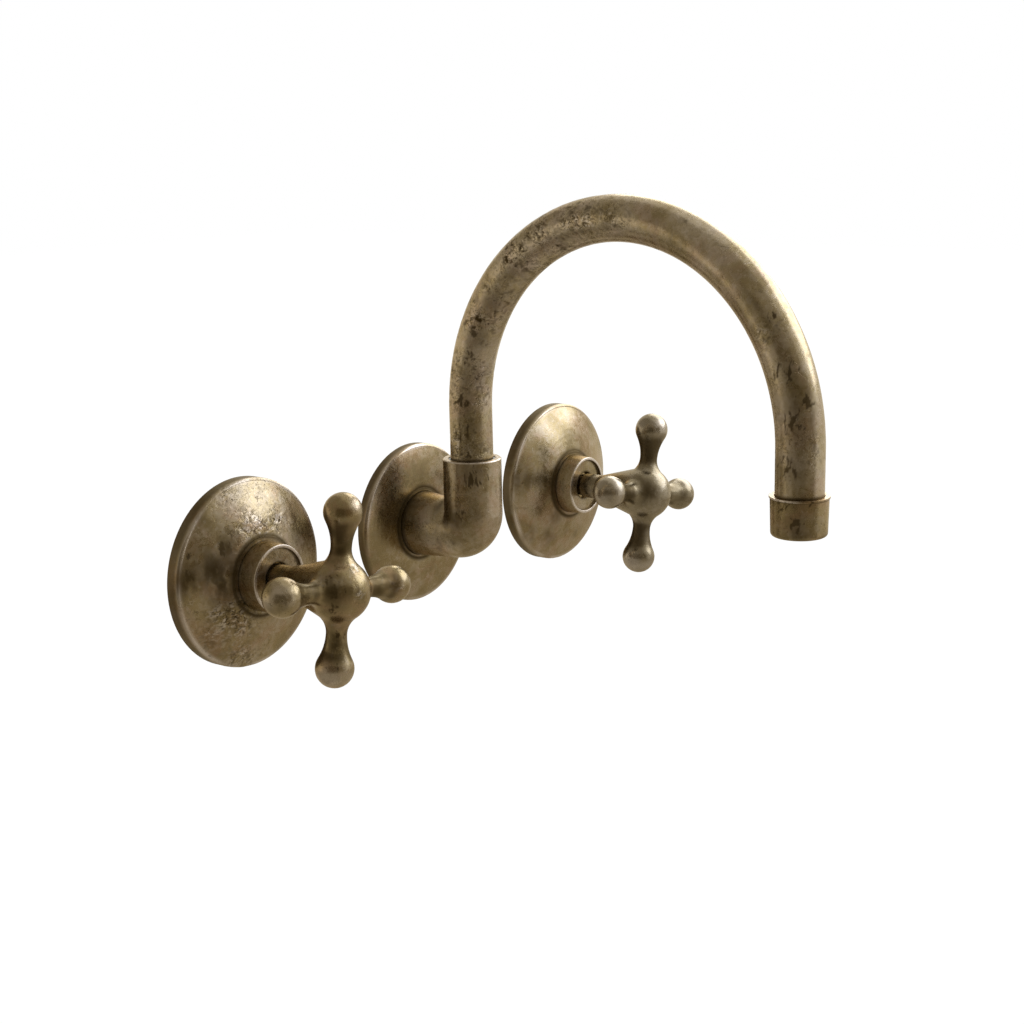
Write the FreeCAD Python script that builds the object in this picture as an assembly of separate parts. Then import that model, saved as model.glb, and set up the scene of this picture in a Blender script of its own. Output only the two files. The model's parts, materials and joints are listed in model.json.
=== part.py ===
import FreeCAD, Part
import math
import os

# A wall-mounted basin set: two screw-down taps with cross handles, and between them an elbow that
# carries a swivelling arched spout. Both taps are built from the same pieces.
# The finished wall is the plane Y = 0 and the room lies on its -Y side. +X runs along the wall, +Z is up.
# The origin is on the wall, on the axis of the spout's inlet. All sizes are in millimetres.
# "out" is a distance from the wall into the room, and a negative "out" lies inside the wall.

# Layout
TAP_SPACING = 203.2
HOT_HANDLE_ANGLE = -8.0
COLD_HANDLE_ANGLE = -11.1
SPOUT_ANGLE = -3.5
HOT_OPENING = 0.0
COLD_OPENING = 2.0

# Clearances
FIT = 0.05
RUNNING = 0.05
FREE = 0.3
SHANK_PLAY = 0.6

# Threads shared by the pieces that screw into the wall
PIPE_THREAD_DIA = 20.955
THREAD_RELIEF = 1.2

# Tap escutcheon
TAP_PLATE_DIA = 74.6
TAP_PLATE_RIM = 6.0
TAP_PLATE_RISE = 13.6
PLATE_WALL = 1.5
PLATE_EDGE_ROUND = 1.3
PLATE_CROWN = 0.7
TAP_LAND_WIDTH = 1.6
TAP_LAND_STEP = 0.6

# Sleeve nut that clamps the tap escutcheon
SLEEVE_DIA = 27.8
SLEEVE_FRONT_DIA = 26.4
SLEEVE_LENGTH = 8.2
SLEEVE_WALL = 1.2
SLEEVE_RECESS = 1.2
SLEEVE_FLOOR = 1.5
SLEEVE_EDGE = 0.3

# Bonnet, the body of the tap
TAP_THREAD_LENGTH = 10.0
BODY_WASHER_DIA = 26.0
BODY_WASHER_THICKNESS = 1.5
BONNET_HEX_FLATS = 24.0
BONNET_HEX_HEIGHT = 5.0
BONNET_BARREL_DIA = 21.0
GLAND_BOX_DEPTH = 9.0
GLAND_THREAD_DIA = 14.0
GUIDE_LENGTH = 2.5

# Gland
PACKING_HEIGHT = 4.0
GLAND_HEX_FLATS = 13.0
GLAND_HEX_HEIGHT = 1.6

# Spindle and valve
SPINDLE_DIA = 9.2
SPINDLE_THREAD_DIA = 12.0
SPINDLE_THREAD_LENGTH = 9.0
SPINDLE_FOOT_DIA = 9.6
DRIVE_SQUARE = 6.5
DRIVE_LENGTH = 24.0
VALVE_LIFT = 3.0
JUMPER_STEM_DIA = 4.8
JUMPER_STEM_LENGTH = 10.4
JUMPER_DISC_DIA = 18.0
JUMPER_DISC_THICKNESS = 2.0
JUMPER_WASHER_DIA = 17.0
JUMPER_WASHER_THICKNESS = 3.2
JUMPER_STUD_DIA = 4.0
JUMPER_NUT_FLATS = 7.0
JUMPER_NUT_HEIGHT = 2.0

# Cross handle
HUB_DIA = 24.2
SHANK_DIA = 11.4
SHANK_LENGTH = 33.2
SHANK_ENTRY = 2.4
SHANK_TAPER = 15.6
ARM_COUNT = 4
ARM_REACH = 36.9
KNOB_DIA = 14.9
NECK_DIA = 8.0
HUB_FLARE = 8.0
HANDLE_SCREW_DIA = 4.0
HANDLE_SCREW_KEY = 2.0
HANDLE_SCREW_SINK = 0.4
HANDLE_SCREW_UP_SHANK = 16.0

# Spout escutcheon
SPOUT_PLATE_DIA = 68.7
SPOUT_PLATE_RIM = 4.8
SPOUT_PLATE_RISE = 6.4
SPOUT_LAND_WIDTH = 1.4
SPOUT_LAND_STEP = 0.3
PLATE_RING_SECTION = 2.0

# Spout elbow
BOSS_DIA = 27.6
BOSS_STRAIGHT = 8.5
ELBOW_OUT = 35.0
ELBOW_BEND = 8.5
SOCKET_DIA = 24.7
SOCKET_TOP = 31.6
SOCKET_DEPTH = 25.5
SOCKET_EDGE = 0.4
WATERWAY_DIA = 13.0
NIPPLE_ENTRY = 12.0
NIPPLE_THREAD_LENGTH = 14.0
NIPPLE_NECK = 1.5
BOSS_BACK = 0.5

# Swivel
BUSH_WALL = 0.8
BUSH_HEIGHT = 8.0
SEAL_SECTION = 1.6
SEAL_COUNT = 2
SEAL_PITCH = 4.2
SEAL_BELOW_BUSH = 2.6
SPIGOT_FLANGE = 5.0
SPIGOT_PLUG = 11.0
SPIGOT_WALL = 1.4
SPIGOT_GROOVE_DEPTH = 1.6
SWIVEL_SCREW_DIA = 4.0
SWIVEL_SCREW_KEY = 2.0
SWIVEL_SCREW_POINT = 2.4
SWIVEL_SCREW_SINK = 0.4

# Spout
TUBE_DIA = 18.0
TUBE_WALL = 1.5
ARCH_RADIUS = 79.7
ARCH_HEIGHT = 52.6
OUTLET_HEIGHT = 20.9

# Aerator
COLLAR_DIA = 21.4
COLLAR_LENGTH = 14.9
COLLAR_DRAFT = 0.35
COLLAR_LIP = 0.35
COLLAR_LIP_HEIGHT = 0.8
COLLAR_ROUND = 1.4
COLLAR_SEAT = 1.2
COLLAR_FLOOR = 1.0
INSERT_HEIGHT = 5.0
INSERT_WALL = 1.0
INSERT_PLATE = 1.4
INSERT_HOLE_DIA = 1.7
INSERT_HOLE_PITCH = 2.6
SCREEN_THICKNESS = 0.4
AERATOR_WASHER_THICKNESS = 1.5

# Places along a tap's axis, worked out from the wall outwards
PIPE_THREAD_R = PIPE_THREAD_DIA / 2
SLEEVE_TOP = TAP_PLATE_RISE + SLEEVE_LENGTH
RECESS_FLOOR = SLEEVE_TOP - SLEEVE_RECESS
GLAND_TOP = RECESS_FLOOR - SLEEVE_FLOOR - FREE
BARREL_TOP = GLAND_TOP - GLAND_HEX_HEIGHT
BARREL_R = BONNET_BARREL_DIA / 2
GLAND_BOX_FLOOR = BARREL_TOP - GLAND_BOX_DEPTH
GLAND_R = GLAND_THREAD_DIA / 2
SPINDLE_R = SPINDLE_DIA / 2
SPINDLE_STOP = GLAND_BOX_FLOOR - GUIDE_LENGTH
SPINDLE_THREAD_TOP = SPINDLE_STOP - FREE - VALVE_LIFT
SPINDLE_THREAD_BOTTOM = SPINDLE_THREAD_TOP - SPINDLE_THREAD_LENGTH
DISC_TOP = -TAP_THREAD_LENGTH - FREE - VALVE_LIFT
DISC_BOTTOM = DISC_TOP - JUMPER_DISC_THICKNESS
JUMPER_WASHER_BOTTOM = DISC_BOTTOM - JUMPER_WASHER_THICKNESS
SHANK_END = SLEEVE_TOP - SHANK_ENTRY
HUB_R = HUB_DIA / 2
SHANK_R = SHANK_DIA / 2

# Places in the spout's socket, worked out upwards from the axis of the inlet
TUBE_R = TUBE_DIA / 2
TUBE_BORE_R = TUBE_R - TUBE_WALL
SOCKET_R = SOCKET_DIA / 2
SOCKET_BORE_R = TUBE_R + FREE
SOCKET_LEDGE = SOCKET_TOP - SOCKET_DEPTH
BUSH_R = TUBE_R + RUNNING + BUSH_WALL
BUSH_BOTTOM = SOCKET_TOP - BUSH_HEIGHT
SPIGOT_BOTTOM = SOCKET_LEDGE + FREE
TUBE_FOOT = SPIGOT_BOTTOM + SPIGOT_FLANGE
SWIVEL_SCREW_HEIGHT = SPIGOT_BOTTOM + SPIGOT_FLANGE / 2
WATERWAY_R = WATERWAY_DIA / 2

# Places at the spout's tip
TIP_OUT = ELBOW_OUT + 2 * ARCH_RADIUS
COLLAR_R = COLLAR_DIA / 2
COLLAR_BORE_R = TUBE_R + FIT
INSERT_BOTTOM = OUTLET_HEIGHT + COLLAR_FLOOR
INSERT_TOP = INSERT_BOTTOM + INSERT_HEIGHT
TUBE_TIP = INSERT_TOP + AERATOR_WASHER_THICKNESS

ORIGIN = FreeCAD.Vector(0, 0, 0)
X_AXIS = FreeCAD.Vector(1, 0, 0)
Y_AXIS = FreeCAD.Vector(0, 1, 0)
Z_AXIS = FreeCAD.Vector(0, 0, 1)
TO_ROOM = FreeCAD.Vector(0, -1, 0)
FULL_TURN = 360
QUARTER_TURN = 90
HEX_SIDES = 6
DIAGONAL = math.sqrt(0.5)


# Profiles and solids of revolution

def at(radius, height):
    """A point of a turned profile: radius from the turning axis, height along it."""
    return FreeCAD.Vector(radius, 0, height)


def line(start, end):
    return Part.LineSegment(start, end).toShape()


def arc(start, middle, end):
    return Part.Arc(start, middle, end).toShape()


def turned(edges):
    """The solid of revolution about the local Z axis of a closed chain of profile edges."""
    face = Part.Face(Part.Wire(edges))
    return face.revolve(ORIGIN, Z_AXIS, FULL_TURN)


def turned_polygon(points):
    """The solid of revolution of a straight-sided profile."""
    ends = points[1:] + points[:1]
    return turned([line(start, end) for start, end in zip(points, ends)])


def ring(inner, outer, bottom, top):
    """A plain washer about the local Z axis."""
    return turned_polygon([at(inner, bottom), at(outer, bottom), at(outer, top), at(inner, top)])


def rod(radius, bottom, top):
    return Part.makeCylinder(radius, top - bottom, at(0, bottom), Z_AXIS)


def o_ring(inner, section, height):
    """A round rubber ring whose inside radius and middle height are given."""
    return Part.makeTorus(inner + section / 2, section / 2, at(0, height), Z_AXIS)


def hexagon(flats, bottom, top):
    """A hexagonal prism about the local Z axis, given its width across flats."""
    corner = flats / math.sqrt(3)
    turns = [math.radians(FULL_TURN * side / HEX_SIDES) for side in range(HEX_SIDES + 1)]
    points = [FreeCAD.Vector(corner * math.cos(t), corner * math.sin(t), bottom) for t in turns]
    return Part.Face(Part.makePolygon(points)).extrude(Z_AXIS * (top - bottom))


def square_bar(width, bottom, top):
    return Part.makeBox(width, width, top - bottom, FreeCAD.Vector(-width / 2, -width / 2, bottom))


def placed(shape, place, rotation):
    """A copy turned about the origin and then moved, on top of where it already is."""
    moved = shape.copy()
    moved.Placement = FreeCAD.Placement(place, rotation).multiply(moved.Placement)
    return moved


def toward(shape, direction, place):
    """Turns a shape from the local Z axis to a direction, then moves its origin to a place."""
    return placed(shape, place, FreeCAD.Rotation(Z_AXIS, direction))


def to_tap(shape, x):
    """Sets a piece made about the local Z axis on a tap's axis, with local Y turned upwards."""
    return placed(shape, X_AXIS * x, FreeCAD.Rotation(X_AXIS, QUARTER_TURN))


def screwed_out(shape, opening, angle):
    """A moving piece of a tap as it stands when the tap is open by a distance: raised, and turned."""
    return placed(shape, at(0, opening), FreeCAD.Rotation(Z_AXIS, angle))


def grub_screw(diameter, key, length):
    """A headless screw along the local Z axis with its hexagonal key socket at the top."""
    body = rod(diameter / 2, 0, length)
    return body.cut(hexagon(key, length / 2, length))


# Escutcheons

def plate_back(diameter, rim, land, face_top):
    """How far out the flat back of a plate's land lies, behind an even wall under the sloping face."""
    run = diameter / 2 - PLATE_EDGE_ROUND - land
    wall_down = PLATE_WALL * math.hypot(run, face_top - rim) / run
    return face_top - wall_down


def escutcheon(diameter, rim, rise, hole, land, step):
    """A spun cover plate: a short cylindrical rim with a rounded edge, a face that crowns gently up to
    a small land round the hole, and a hollow back with an even wall."""
    radius = diameter / 2
    edge_middle = PLATE_EDGE_ROUND * (1 - DIAGONAL)
    rim_top = at(radius, rim - PLATE_EDGE_ROUND)
    rim_middle = at(radius - edge_middle, rim - edge_middle)
    face_foot = at(radius - PLATE_EDGE_ROUND, rim)
    face_top = at(land, rise - step)
    slope = face_top - face_foot
    across = FreeCAD.Vector(slope.z, 0, -slope.x).normalize()
    face_middle = (face_foot + face_top) * 0.5 + across * PLATE_CROWN
    back = plate_back(diameter, rim, land, rise - step)
    inside_rim = at(radius - PLATE_WALL, back - slope.z)
    inside_land = at(land, back)
    edges = [
        line(at(radius, 0), rim_top),
        arc(rim_top, rim_middle, face_foot),
        arc(face_foot, face_middle, face_top),
        line(face_top, at(land, rise)),
        line(at(land, rise), at(hole, rise)),
        line(at(hole, rise), at(hole, back)),
        line(at(hole, back), inside_land),
        line(inside_land, inside_rim),
        line(inside_rim, at(radius - PLATE_WALL, 0)),
        line(at(radius - PLATE_WALL, 0), at(radius, 0)),
    ]
    return turned(edges)


def tap_escutcheon():
    land = SLEEVE_DIA / 2 + TAP_LAND_WIDTH
    return escutcheon(TAP_PLATE_DIA, TAP_PLATE_RIM, TAP_PLATE_RISE, BARREL_R + FREE, land, TAP_LAND_STEP)


def spout_escutcheon():
    hole = BOSS_DIA / 2 + FIT
    return escutcheon(SPOUT_PLATE_DIA, SPOUT_PLATE_RIM, SPOUT_PLATE_RISE, hole, spout_land(), SPOUT_LAND_STEP)


def spout_land():
    """Outer radius of the land round the spout escutcheon's hole."""
    return BOSS_DIA / 2 + FIT + SPOUT_LAND_WIDTH


# The fixed pieces of a tap

def sleeve_nut():
    """The barrel that screws onto the bonnet and clamps the escutcheon. Its front is a shallow cup whose
    floor hides the gland nut and lets the handle's shank through."""
    foot = SLEEVE_DIA / 2
    front = SLEEVE_FRONT_DIA / 2
    cup = front - SLEEVE_WALL
    thread = BARREL_R + FIT
    shank_hole = SHANK_R + SHANK_PLAY
    web = RECESS_FLOOR - SLEEVE_FLOOR
    return turned_polygon([
        at(foot, TAP_PLATE_RISE),
        at(front, SLEEVE_TOP - SLEEVE_EDGE),
        at(front - SLEEVE_EDGE, SLEEVE_TOP),
        at(cup, SLEEVE_TOP),
        at(cup, RECESS_FLOOR),
        at(shank_hole, RECESS_FLOOR),
        at(shank_hole, web),
        at(thread, web),
        at(thread, TAP_PLATE_RISE),
    ])


def bonnet():
    """The tap's body: threaded tail, relief under the hexagon, hexagon for the spanner, barrel for the
    sleeve nut, and inside it the gland box, the spindle's guide and the spindle's thread."""
    hex_top = BODY_WASHER_THICKNESS + BONNET_HEX_HEIGHT
    body = rod(PIPE_THREAD_R, -TAP_THREAD_LENGTH, 0)
    body = body.fuse(rod(PIPE_THREAD_R - THREAD_RELIEF, 0, BODY_WASHER_THICKNESS))
    body = body.fuse(hexagon(BONNET_HEX_FLATS, BODY_WASHER_THICKNESS, hex_top))
    body = body.fuse(rod(BARREL_R, hex_top, BARREL_TOP))
    body = body.cut(rod(SPINDLE_THREAD_DIA / 2 + RUNNING, -TAP_THREAD_LENGTH, SPINDLE_STOP))
    body = body.cut(rod(SPINDLE_R + RUNNING, SPINDLE_STOP, GLAND_BOX_FLOOR))
    return body.cut(rod(GLAND_R + FIT, GLAND_BOX_FLOOR, BARREL_TOP))


def body_washer():
    return ring(PIPE_THREAD_R + FIT, BODY_WASHER_DIA / 2, 0, BODY_WASHER_THICKNESS)


def gland_packing():
    return ring(SPINDLE_R + RUNNING, GLAND_R, GLAND_BOX_FLOOR, GLAND_BOX_FLOOR + PACKING_HEIGHT)


def gland_nut():
    """A hexagon over a threaded shank that presses the packing into its box."""
    shank = rod(GLAND_R, GLAND_BOX_FLOOR + PACKING_HEIGHT, BARREL_TOP)
    head = hexagon(GLAND_HEX_FLATS, BARREL_TOP, GLAND_TOP)
    bore = rod(SPINDLE_R + FREE, GLAND_BOX_FLOOR, GLAND_TOP)
    return shank.fuse(head).cut(bore)


# The moving pieces of a tap

def spindle():
    """Foot that bears on the jumper valve, screw, plain shaft through the gland, and the square that
    drives the handle. The jumper's stem turns freely in a blind hole in the foot."""
    foot_bottom = DISC_TOP + FREE
    drive_start = SHANK_END - FREE
    body = rod(SPINDLE_FOOT_DIA / 2, foot_bottom, SPINDLE_THREAD_BOTTOM)
    body = body.fuse(rod(SPINDLE_THREAD_DIA / 2, SPINDLE_THREAD_BOTTOM, SPINDLE_THREAD_TOP))
    body = body.fuse(rod(SPINDLE_R, SPINDLE_THREAD_TOP, drive_start))
    body = body.fuse(square_bar(DRIVE_SQUARE, drive_start, drive_start + DRIVE_LENGTH))
    stem_hole_top = DISC_TOP + JUMPER_STEM_LENGTH + FREE
    return body.cut(rod(JUMPER_STEM_DIA / 2 + RUNNING, foot_bottom, stem_hole_top))


def jumper_valve():
    """Disc with a stem on one side and a stud for the washer and its nut on the other."""
    stud_end = JUMPER_WASHER_BOTTOM - JUMPER_NUT_HEIGHT
    disc = rod(JUMPER_DISC_DIA / 2, DISC_BOTTOM, DISC_TOP)
    stem = rod(JUMPER_STEM_DIA / 2, DISC_TOP, DISC_TOP + JUMPER_STEM_LENGTH)
    return disc.fuse(stem).fuse(rod(JUMPER_STUD_DIA / 2, stud_end, DISC_BOTTOM))


def jumper_washer():
    return ring(JUMPER_STUD_DIA / 2 + FIT, JUMPER_WASHER_DIA / 2, JUMPER_WASHER_BOTTOM, DISC_BOTTOM)


def jumper_nut():
    bottom = JUMPER_WASHER_BOTTOM - JUMPER_NUT_HEIGHT
    nut = hexagon(JUMPER_NUT_FLATS, bottom, JUMPER_WASHER_BOTTOM)
    return nut.cut(rod(JUMPER_STUD_DIA / 2 + FIT, bottom, JUMPER_WASHER_BOTTOM))


def shank_radius(up_shank):
    """Radius of the shank's cone, which runs tangent onto the round hub, at a distance up the shank."""
    taper = math.radians(SHANK_TAPER)
    return HUB_R / math.cos(taper) - (SHANK_LENGTH - up_shank) * math.tan(taper)


def hub_and_shank():
    """A round hub that a cone joins tangentially, running down to the straight end of the shank, which
    is at the local origin."""
    taper = math.radians(SHANK_TAPER)
    cone_foot = SHANK_LENGTH - (HUB_R / math.cos(taper) - SHANK_R) / math.tan(taper)
    cone_top = at(HUB_R * math.cos(taper), SHANK_LENGTH - HUB_R * math.sin(taper))
    nose = at(0, SHANK_LENGTH + HUB_R)
    side = at(HUB_R * DIAGONAL, SHANK_LENGTH + HUB_R * DIAGONAL)
    return turned([
        line(ORIGIN, at(SHANK_R, 0)),
        line(at(SHANK_R, 0), at(SHANK_R, cone_foot)),
        line(at(SHANK_R, cone_foot), cone_top),
        arc(cone_top, side, nose),
        line(nose, ORIGIN),
    ])


def handle_arm():
    """One arm along the local Z axis from the hub's centre: a flare tangent to the hub runs into a slim
    neck, and from its narrowest place a longer flare runs out tangent to the round knob at the end."""
    neck = NECK_DIA / 2
    knob = KNOB_DIA / 2
    knob_centre = at(0, ARM_REACH - knob)
    hub_flare = at(neck + HUB_FLARE, math.sqrt((HUB_R + HUB_FLARE) ** 2 - (neck + HUB_FLARE) ** 2))
    hub_touch = hub_flare * (HUB_R / hub_flare.Length)
    hub_way = (hub_touch - hub_flare).normalize() + at(-1, 0)
    hub_middle = hub_flare + hub_way.normalize() * HUB_FLARE
    narrowest = at(neck, hub_flare.z)
    run = knob_centre.z - narrowest.z
    knob_flare_r = (run ** 2 + neck ** 2 - knob ** 2) / (2 * (knob - neck))
    knob_flare = at(neck + knob_flare_r, narrowest.z)
    to_flare = (knob_flare - knob_centre).normalize()
    knob_touch = knob_centre + to_flare * knob
    knob_way = (knob_touch - knob_flare).normalize() + at(-1, 0)
    knob_middle = knob_flare + knob_way.normalize() * knob_flare_r
    knob_side = knob_centre + (to_flare + Z_AXIS).normalize() * knob
    tip = at(0, ARM_REACH)
    return turned([
        line(ORIGIN, hub_touch),
        arc(hub_touch, hub_middle, narrowest),
        arc(narrowest, knob_middle, knob_touch),
        arc(knob_touch, knob_side, tip),
        line(tip, ORIGIN),
    ])


def cross_handle():
    """Hub, shank and arms in one casting, with the square socket and the grub screw's hole."""
    body = hub_and_shank()
    for index in range(ARM_COUNT):
        turn = math.radians(FULL_TURN * index / ARM_COUNT)
        way = FreeCAD.Vector(math.cos(turn), math.sin(turn), 0)
        body = body.fuse(toward(handle_arm(), way, at(0, SHANK_LENGTH)))
    socket = square_bar(DRIVE_SQUARE + 2 * FIT, 0, DRIVE_LENGTH)
    hole = rod(HANDLE_SCREW_DIA / 2 + FIT, 0, HUB_R)
    hole = toward(hole, -Y_AXIS, at(0, HANDLE_SCREW_UP_SHANK))
    body = body.cut(socket).cut(hole).removeSplitter()
    body.translate(at(0, SHANK_END))
    return body


def handle_screw():
    """Grub screw that bears on the spindle's square from below, with its key end sunk in the shank."""
    start = DRIVE_SQUARE / 2 + FIT
    end = shank_radius(HANDLE_SCREW_UP_SHANK) - HANDLE_SCREW_SINK
    screw = grub_screw(HANDLE_SCREW_DIA, HANDLE_SCREW_KEY, end - start)
    return toward(screw, -Y_AXIS, FreeCAD.Vector(0, -start, SHANK_END + HANDLE_SCREW_UP_SHANK))


# The spout's elbow and what it holds

def elbow_bend():
    """The round outer corner between the inlet and the socket: the lower part of the socket's section,
    swung a quarter turn about an axis inside the corner. The two straight legs fill the inner side."""
    start = ELBOW_OUT - ELBOW_BEND
    half_chord = math.sqrt(SOCKET_R ** 2 - ELBOW_BEND ** 2)
    left = FreeCAD.Vector(-half_chord, -start, ELBOW_BEND)
    right = FreeCAD.Vector(half_chord, -start, ELBOW_BEND)
    bottom = FreeCAD.Vector(0, -start, -SOCKET_R)
    section = Part.Face(Part.Wire([arc(left, bottom, right), line(right, left)]))
    return section.revolve(FreeCAD.Vector(0, -start, ELBOW_BEND), -X_AXIS, QUARTER_TURN)


def at_swivel(shape):
    """Moves a piece made about the local Z axis onto the spout's swivel axis."""
    moved = shape.copy()
    moved.translate(TO_ROOM * ELBOW_OUT)
    return moved


def seal_heights():
    top = BUSH_BOTTOM - SEAL_BELOW_BUSH
    return [top - SEAL_PITCH * index for index in range(SEAL_COUNT)]


def plate_ring_out():
    """How far out the middle of the rubber ring behind the spout's escutcheon lies."""
    face_top = SPOUT_PLATE_RISE - SPOUT_LAND_STEP
    back = plate_back(SPOUT_PLATE_DIA, SPOUT_PLATE_RIM, spout_land(), face_top)
    return back - PLATE_RING_SECTION / 2 - FIT


def spout_elbow():
    """A cast elbow: horizontal boss with a little draft, round outer corner, upright socket."""
    bend_start = ELBOW_OUT - ELBOW_BEND
    boss = turned_polygon([
        at(0, BOSS_BACK),
        at(BOSS_DIA / 2, BOSS_BACK),
        at(BOSS_DIA / 2, BOSS_STRAIGHT),
        at(SOCKET_R, bend_start),
        at(0, bend_start),
    ])
    socket = turned_polygon([
        at(0, ELBOW_BEND),
        at(SOCKET_R, ELBOW_BEND),
        at(SOCKET_R, SOCKET_TOP - SOCKET_EDGE),
        at(SOCKET_R - SOCKET_EDGE, SOCKET_TOP),
        at(0, SOCKET_TOP),
    ])
    body = to_tap(boss, 0).fuse(elbow_bend()).fuse(at_swivel(socket)).removeSplitter()
    inlet = rod(PIPE_THREAD_R + FIT, 0, NIPPLE_ENTRY + FREE)
    inlet = inlet.fuse(rod(WATERWAY_R, 0, ELBOW_OUT))
    body = body.cut(to_tap(inlet, 0))
    bore = rod(SOCKET_BORE_R, SOCKET_LEDGE, BUSH_BOTTOM)
    bore = bore.fuse(rod(BUSH_R + FIT, BUSH_BOTTOM, SOCKET_TOP))
    bore = bore.fuse(rod(WATERWAY_R, 0, SOCKET_LEDGE))
    bore = bore.fuse(Part.makeSphere(WATERWAY_R))
    body = body.cut(at_swivel(bore))
    groove_r = TUBE_R + RUNNING + SEAL_SECTION + FIT
    for height in seal_heights():
        half = SEAL_SECTION / 2 + FIT
        body = body.cut(at_swivel(ring(TUBE_R, groove_r, height - half, height + half)))
    ring_out = plate_ring_out()
    half = PLATE_RING_SECTION / 2 + FIT
    groove = ring(plate_ring_inner(), BOSS_DIA, ring_out - half, ring_out + half)
    body = body.cut(to_tap(groove, 0))
    screw_hole = rod(SWIVEL_SCREW_DIA / 2 + FIT, 0, SOCKET_DIA)
    place = FreeCAD.Vector(0, -ELBOW_OUT, SWIVEL_SCREW_HEIGHT)
    return body.cut(toward(screw_hole, X_AXIS, place))


def plate_ring_inner():
    """Inside radius of the groove for the ring behind the spout's escutcheon."""
    return BOSS_DIA / 2 - PLATE_RING_SECTION / 2


def escutcheon_ring():
    return o_ring(plate_ring_inner() + FIT, PLATE_RING_SECTION, plate_ring_out())


def inlet_nipple():
    """A hollow nipple: one thread in the elbow, one for the pipework, and a relief between them."""
    body = rod(PIPE_THREAD_R, -NIPPLE_THREAD_LENGTH - NIPPLE_NECK, -NIPPLE_NECK)
    body = body.fuse(rod(PIPE_THREAD_R - THREAD_RELIEF, -NIPPLE_NECK, BOSS_BACK))
    body = body.fuse(rod(PIPE_THREAD_R, BOSS_BACK, NIPPLE_ENTRY))
    return body.cut(rod(WATERWAY_R, -NIPPLE_THREAD_LENGTH - NIPPLE_NECK, NIPPLE_ENTRY))


def swivel_bush():
    return ring(TUBE_R + RUNNING, BUSH_R, BUSH_BOTTOM, SOCKET_TOP - SOCKET_EDGE)


def swivel_seals():
    inner = TUBE_R + RUNNING
    return Part.makeCompound([o_ring(inner, SEAL_SECTION, height) for height in seal_heights()])


def swivel_screw():
    """Grub screw in the socket's side. Its point runs in the spigot's groove and keeps the spout down."""
    groove = TUBE_R - SPIGOT_GROOVE_DEPTH
    point_start = groove + FREE
    body_start = SOCKET_BORE_R + FIT
    end = SOCKET_R - SWIVEL_SCREW_SINK
    screw = grub_screw(SWIVEL_SCREW_DIA, SWIVEL_SCREW_KEY, end - body_start)
    screw.translate(at(0, body_start))
    screw = screw.fuse(rod(SWIVEL_SCREW_POINT / 2, point_start, body_start))
    return toward(screw, X_AXIS, FreeCAD.Vector(0, -ELBOW_OUT, SWIVEL_SCREW_HEIGHT))


# The swivelling spout

def at_rest(shape):
    """Turns a piece of the spout about the swivel axis to the angle that the spout is left at."""
    moved = shape.copy()
    moved.rotate(TO_ROOM * ELBOW_OUT, Z_AXIS, SPOUT_ANGLE)
    return moved


def at_tip(shape):
    """Moves a piece made about the local Z axis to the spout's tip."""
    moved = shape.copy()
    moved.translate(TO_ROOM * TIP_OUT)
    return at_rest(moved)


def spout_spigot():
    """Foot of the spout: a flange with a groove for the swivel screw, and a plug brazed into the tube."""
    bore = TUBE_BORE_R - SPIGOT_WALL
    half_groove = SWIVEL_SCREW_POINT / 2 + FREE
    body = rod(TUBE_R, SPIGOT_BOTTOM, TUBE_FOOT)
    body = body.fuse(rod(TUBE_BORE_R - FIT, TUBE_FOOT, TUBE_FOOT + SPIGOT_PLUG))
    body = body.cut(rod(bore, SPIGOT_BOTTOM, TUBE_FOOT + SPIGOT_PLUG))
    groove_bottom = SWIVEL_SCREW_HEIGHT - half_groove
    groove_top = SWIVEL_SCREW_HEIGHT + half_groove
    groove = ring(TUBE_R - SPIGOT_GROOVE_DEPTH, SOCKET_DIA, groove_bottom, groove_top)
    return at_rest(at_swivel(body.cut(groove)))


def spout_tube():
    """One bent tube: upright leg, half-circle arch, and a shorter leg down to the aerator."""
    near = FreeCAD.Vector(0, -ELBOW_OUT, ARCH_HEIGHT)
    crown = FreeCAD.Vector(0, -ELBOW_OUT - ARCH_RADIUS, ARCH_HEIGHT)
    section = Part.Face([
        Part.Wire(Part.makeCircle(TUBE_R, near, Z_AXIS)),
        Part.Wire(Part.makeCircle(TUBE_BORE_R, near, Z_AXIS)),
    ])
    arch = section.revolve(crown, X_AXIS, FULL_TURN / 2)
    leg = ring(TUBE_BORE_R, TUBE_R, TUBE_FOOT, ARCH_HEIGHT)
    leg.translate(TO_ROOM * ELBOW_OUT)
    drop = ring(TUBE_BORE_R, TUBE_R, TUBE_TIP, ARCH_HEIGHT)
    drop.translate(TO_ROOM * TIP_OUT)
    return at_rest(arch.fuse(leg).fuse(drop).removeSplitter())


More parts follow.
